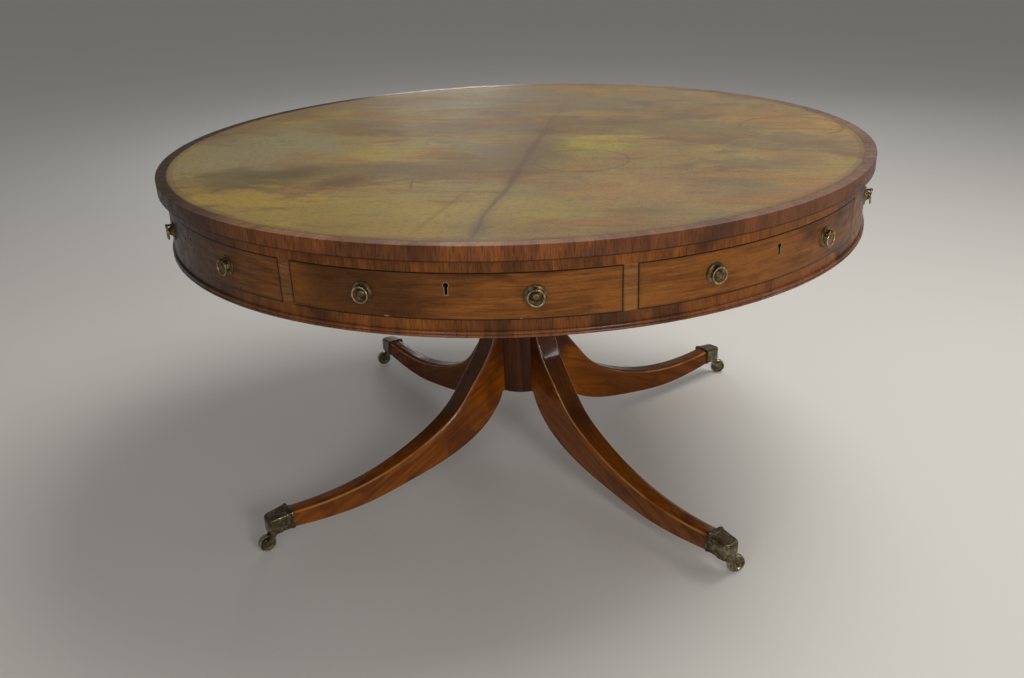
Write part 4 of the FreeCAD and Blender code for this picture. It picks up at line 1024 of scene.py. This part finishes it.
# %% The pattern box
castor_pivot = Vector(joints["castor_swivel_front_right"]["pos_m"])
castor_axle = Vector(joints["castor_roll_front_right"]["pos_m"])
PIVOT_LINE = castor_pivot.xy.length
WHEEL_RADIUS = castor_axle.z
BOX_FRONT = PIVOT_LINE + 18 * MM
BOX_MOUTH = BOX_FRONT - 54 * MM
BOX_HALF_WIDTH = 22.5 * MM
BOX_FOOT = 44 * MM
BOX_TOP = 83 * MM
BOX_FALL = 5.0 * MM
BOX_TAPER = 0.86
BLOCK_START = BOX_MOUTH + 27 * MM
BLOCK_DROP = 2.8 * MM
NOSE_ROUND = 12.5 * MM
ARRIS_ROUND = 5.5 * MM
FOOT_ROUND = 2.5 * MM
SOFT_EDGE = 0.6 * MM
CLOSE = 0.05 * MM

# Each rib: where it starts and ends behind the mouth, and how far it stands out.
RIBS = ((0.0, 4.6 * MM, 1.7 * MM), (6.4 * MM, 8.4 * MM, 0.8 * MM))

select_none()
bpy.ops.mesh.primitive_cube_add(
    size=1, location=((BOX_MOUTH + BOX_FRONT) / 2, 0, (BOX_FOOT + BOX_TOP) / 2),
    scale=(BOX_FRONT - BOX_MOUTH, BOX_HALF_WIDTH * 2, BOX_TOP - BOX_FOOT))
pattern_box = bpy.context.object
pattern_box.name = "pattern_box"
pattern_box.data.materials.append(castor_brass)
bpy.ops.object.transform_apply(location=True, rotation=True, scale=True)
bpy.ops.object.mode_set(mode="EDIT")

pick(pattern_box, "edges", lambda edge: all(
    abs(v.co.x - BOX_FRONT) < CLOSE and v.co.z > BOX_TOP - CLOSE for v in edge.verts))
bpy.ops.transform.translate(value=(0, 0, -BOX_FALL))
pick(pattern_box, "faces", lambda face: face.normal.x > 0.9)
bpy.ops.transform.resize(value=(1, BOX_TAPER, 1), center_override=(BOX_FRONT, 0, BOX_FOOT))
pick(pattern_box, "edges", lambda edge: all(abs(v.co.x - BOX_FRONT) < CLOSE for v in edge.verts)
     and abs(edge.verts[0].co.z - edge.verts[1].co.z) > BOX_HALF_WIDTH)
bpy.ops.mesh.bevel(offset=NOSE_ROUND, segments=8, affect="EDGES")


def arris(edge, up):
    """An edge where the top (up is 1) or foot (up is -1) of the box meets a side or the nose."""
    steepness = sorted(face.normal.z * up for face in edge.link_faces)
    at_mouth = any(face.normal.x < -0.9 for face in edge.link_faces)
    return steepness[1] > 0.9 and steepness[0] < 0.3 and not at_mouth


pick(pattern_box, "edges", lambda edge: arris(edge, 1))
bpy.ops.mesh.bevel(offset=ARRIS_ROUND, segments=6, affect="EDGES")
pick(pattern_box, "edges", lambda edge: arris(edge, -1))
bpy.ops.mesh.bevel(offset=FOOT_ROUND, segments=3, affect="EDGES")

for start, end, _ in RIBS:
    for place in (start, end):
        if place > 0:
            bpy.ops.mesh.select_all(action="SELECT")
            bpy.ops.mesh.bisect(plane_co=(BOX_MOUTH + place, 0, 0), plane_no=(1, 0, 0))
bpy.ops.mesh.select_all(action="SELECT")
bpy.ops.mesh.bisect(plane_co=(BLOCK_START, 0, 0), plane_no=(1, 0, 0))

for start, end, height in RIBS:
    pick(pattern_box, "faces", lambda face: abs(face.normal.x) < 0.5
         and BOX_MOUTH + start < face.calc_center_median().x < BOX_MOUTH + end)
    bpy.ops.mesh.extrude_region_shrink_fatten(
        MESH_OT_extrude_region={}, TRANSFORM_OT_shrink_fatten={"value": height, "use_even_offset": True})
pick(pattern_box, "faces",
     lambda face: face.normal.z < -0.9 and face.calc_center_median().x > BLOCK_START)
bpy.ops.mesh.extrude_region_move(TRANSFORM_OT_translate={"value": (0, 0, -BLOCK_DROP)})
bpy.ops.mesh.select_all(action="SELECT")
bpy.ops.mesh.remove_doubles(threshold=CLOSE / 5)
bpy.ops.mesh.normals_make_consistent(inside=False)
bpy.ops.object.mode_set(mode="OBJECT")
softened = pattern_box.modifiers.new("softened", "BEVEL")
softened.width = SOFT_EDGE
softened.segments = 2
softened.limit_method = "ANGLE"
softened.angle_limit = math.radians(35)
bpy.ops.object.modifier_apply(modifier=softened.name)
bpy.ops.object.shade_smooth_by_angle(angle=math.radians(50))
print("box spans", [round(side, 4) for side in pattern_box.dimensions])

# %% [markdown]
# A round boss under the block carries the swivel pin. It is turned by itself and joined to the box.

# %% The boss under the box
BOSS_OUTLINE = [(13.6 * MM, 41.1 * MM), (15 * MM, 42.3 * MM), (15 * MM, BOX_FOOT + 6 * MM)]

boss = turned_piece("boss", BOSS_OUTLINE, sides=48)
boss.matrix_world = Matrix.Translation((PIVOT_LINE, 0, 0))
select_only(pattern_box, boss)
bpy.ops.object.join()

# %% [markdown]
# The wheel is turned from one outline: a hub, a thin web and a rounded rim. The floor has polished its
# tread, so the faces of the rim get the brighter brass.

# %% The pattern wheel
OUTLINE_RADIUS = 19.0
WHEEL_OUTLINE = [
    (4.2, -6.5), (4.9, -6.2), (5.3, -5.4), (5.6, -3.2), (6.6, -2.5), (11.5, -2.4), (14.0, -3.4),
    (15.4, -5.4), (16.4, -6.0), (17.6, -5.9), (18.5, -5.0), (18.9, -3.6), (19.0, -2.0), (19.0, 2.0),
    (18.9, 3.6), (18.5, 5.0), (17.6, 5.9), (16.4, 6.0), (15.4, 5.4), (14.0, 3.4), (11.5, 2.4), (6.6, 2.5),
    (5.6, 3.2), (5.3, 5.4), (4.9, 6.2), (4.2, 6.5),
]
WHEEL_SIDES = 64
TREAD_START = 16.6 * MM
TREAD_SLOT = 1

wheel_share = WHEEL_RADIUS / OUTLINE_RADIUS
wheel_outline = [(radius * wheel_share, level * MM) for radius, level in WHEEL_OUTLINE]
pattern_wheel = turned_piece("pattern_wheel", wheel_outline, WHEEL_SIDES)
pattern_wheel.data.materials.append(castor_brass)
pattern_wheel.data.materials.append(tread_brass)
bpy.ops.object.mode_set(mode="EDIT")
pick(pattern_wheel, "faces", lambda face: face.calc_center_median().xy.length > TREAD_START)
pattern_wheel.active_material_index = TREAD_SLOT
bpy.ops.object.material_slot_assign()
bpy.ops.object.mode_set(mode="OBJECT")

# %% Four boxes and wheels
for place in LEG_PLACES:
    pivot = Vector(joints[f"castor_swivel_{place}"]["pos_m"])
    towards = Matrix.Rotation(math.atan2(pivot.y, pivot.x), 4, "Z")
    box = another(pattern_box, f"cast_box_{place}")
    settle(box, towards, "base")
    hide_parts(f"castor_box_{place}")
    roll = joints[f"castor_roll_{place}"]
    wheel = another(pattern_wheel, f"turned_wheel_{place}")
    settle(wheel, looking(Vector(roll["pos_m"]), Vector(roll["axis"])), f"wheel_{place}")
    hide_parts(f"castor_wheel_{place}")
put_away(pattern_box)
put_away(pattern_wheel)
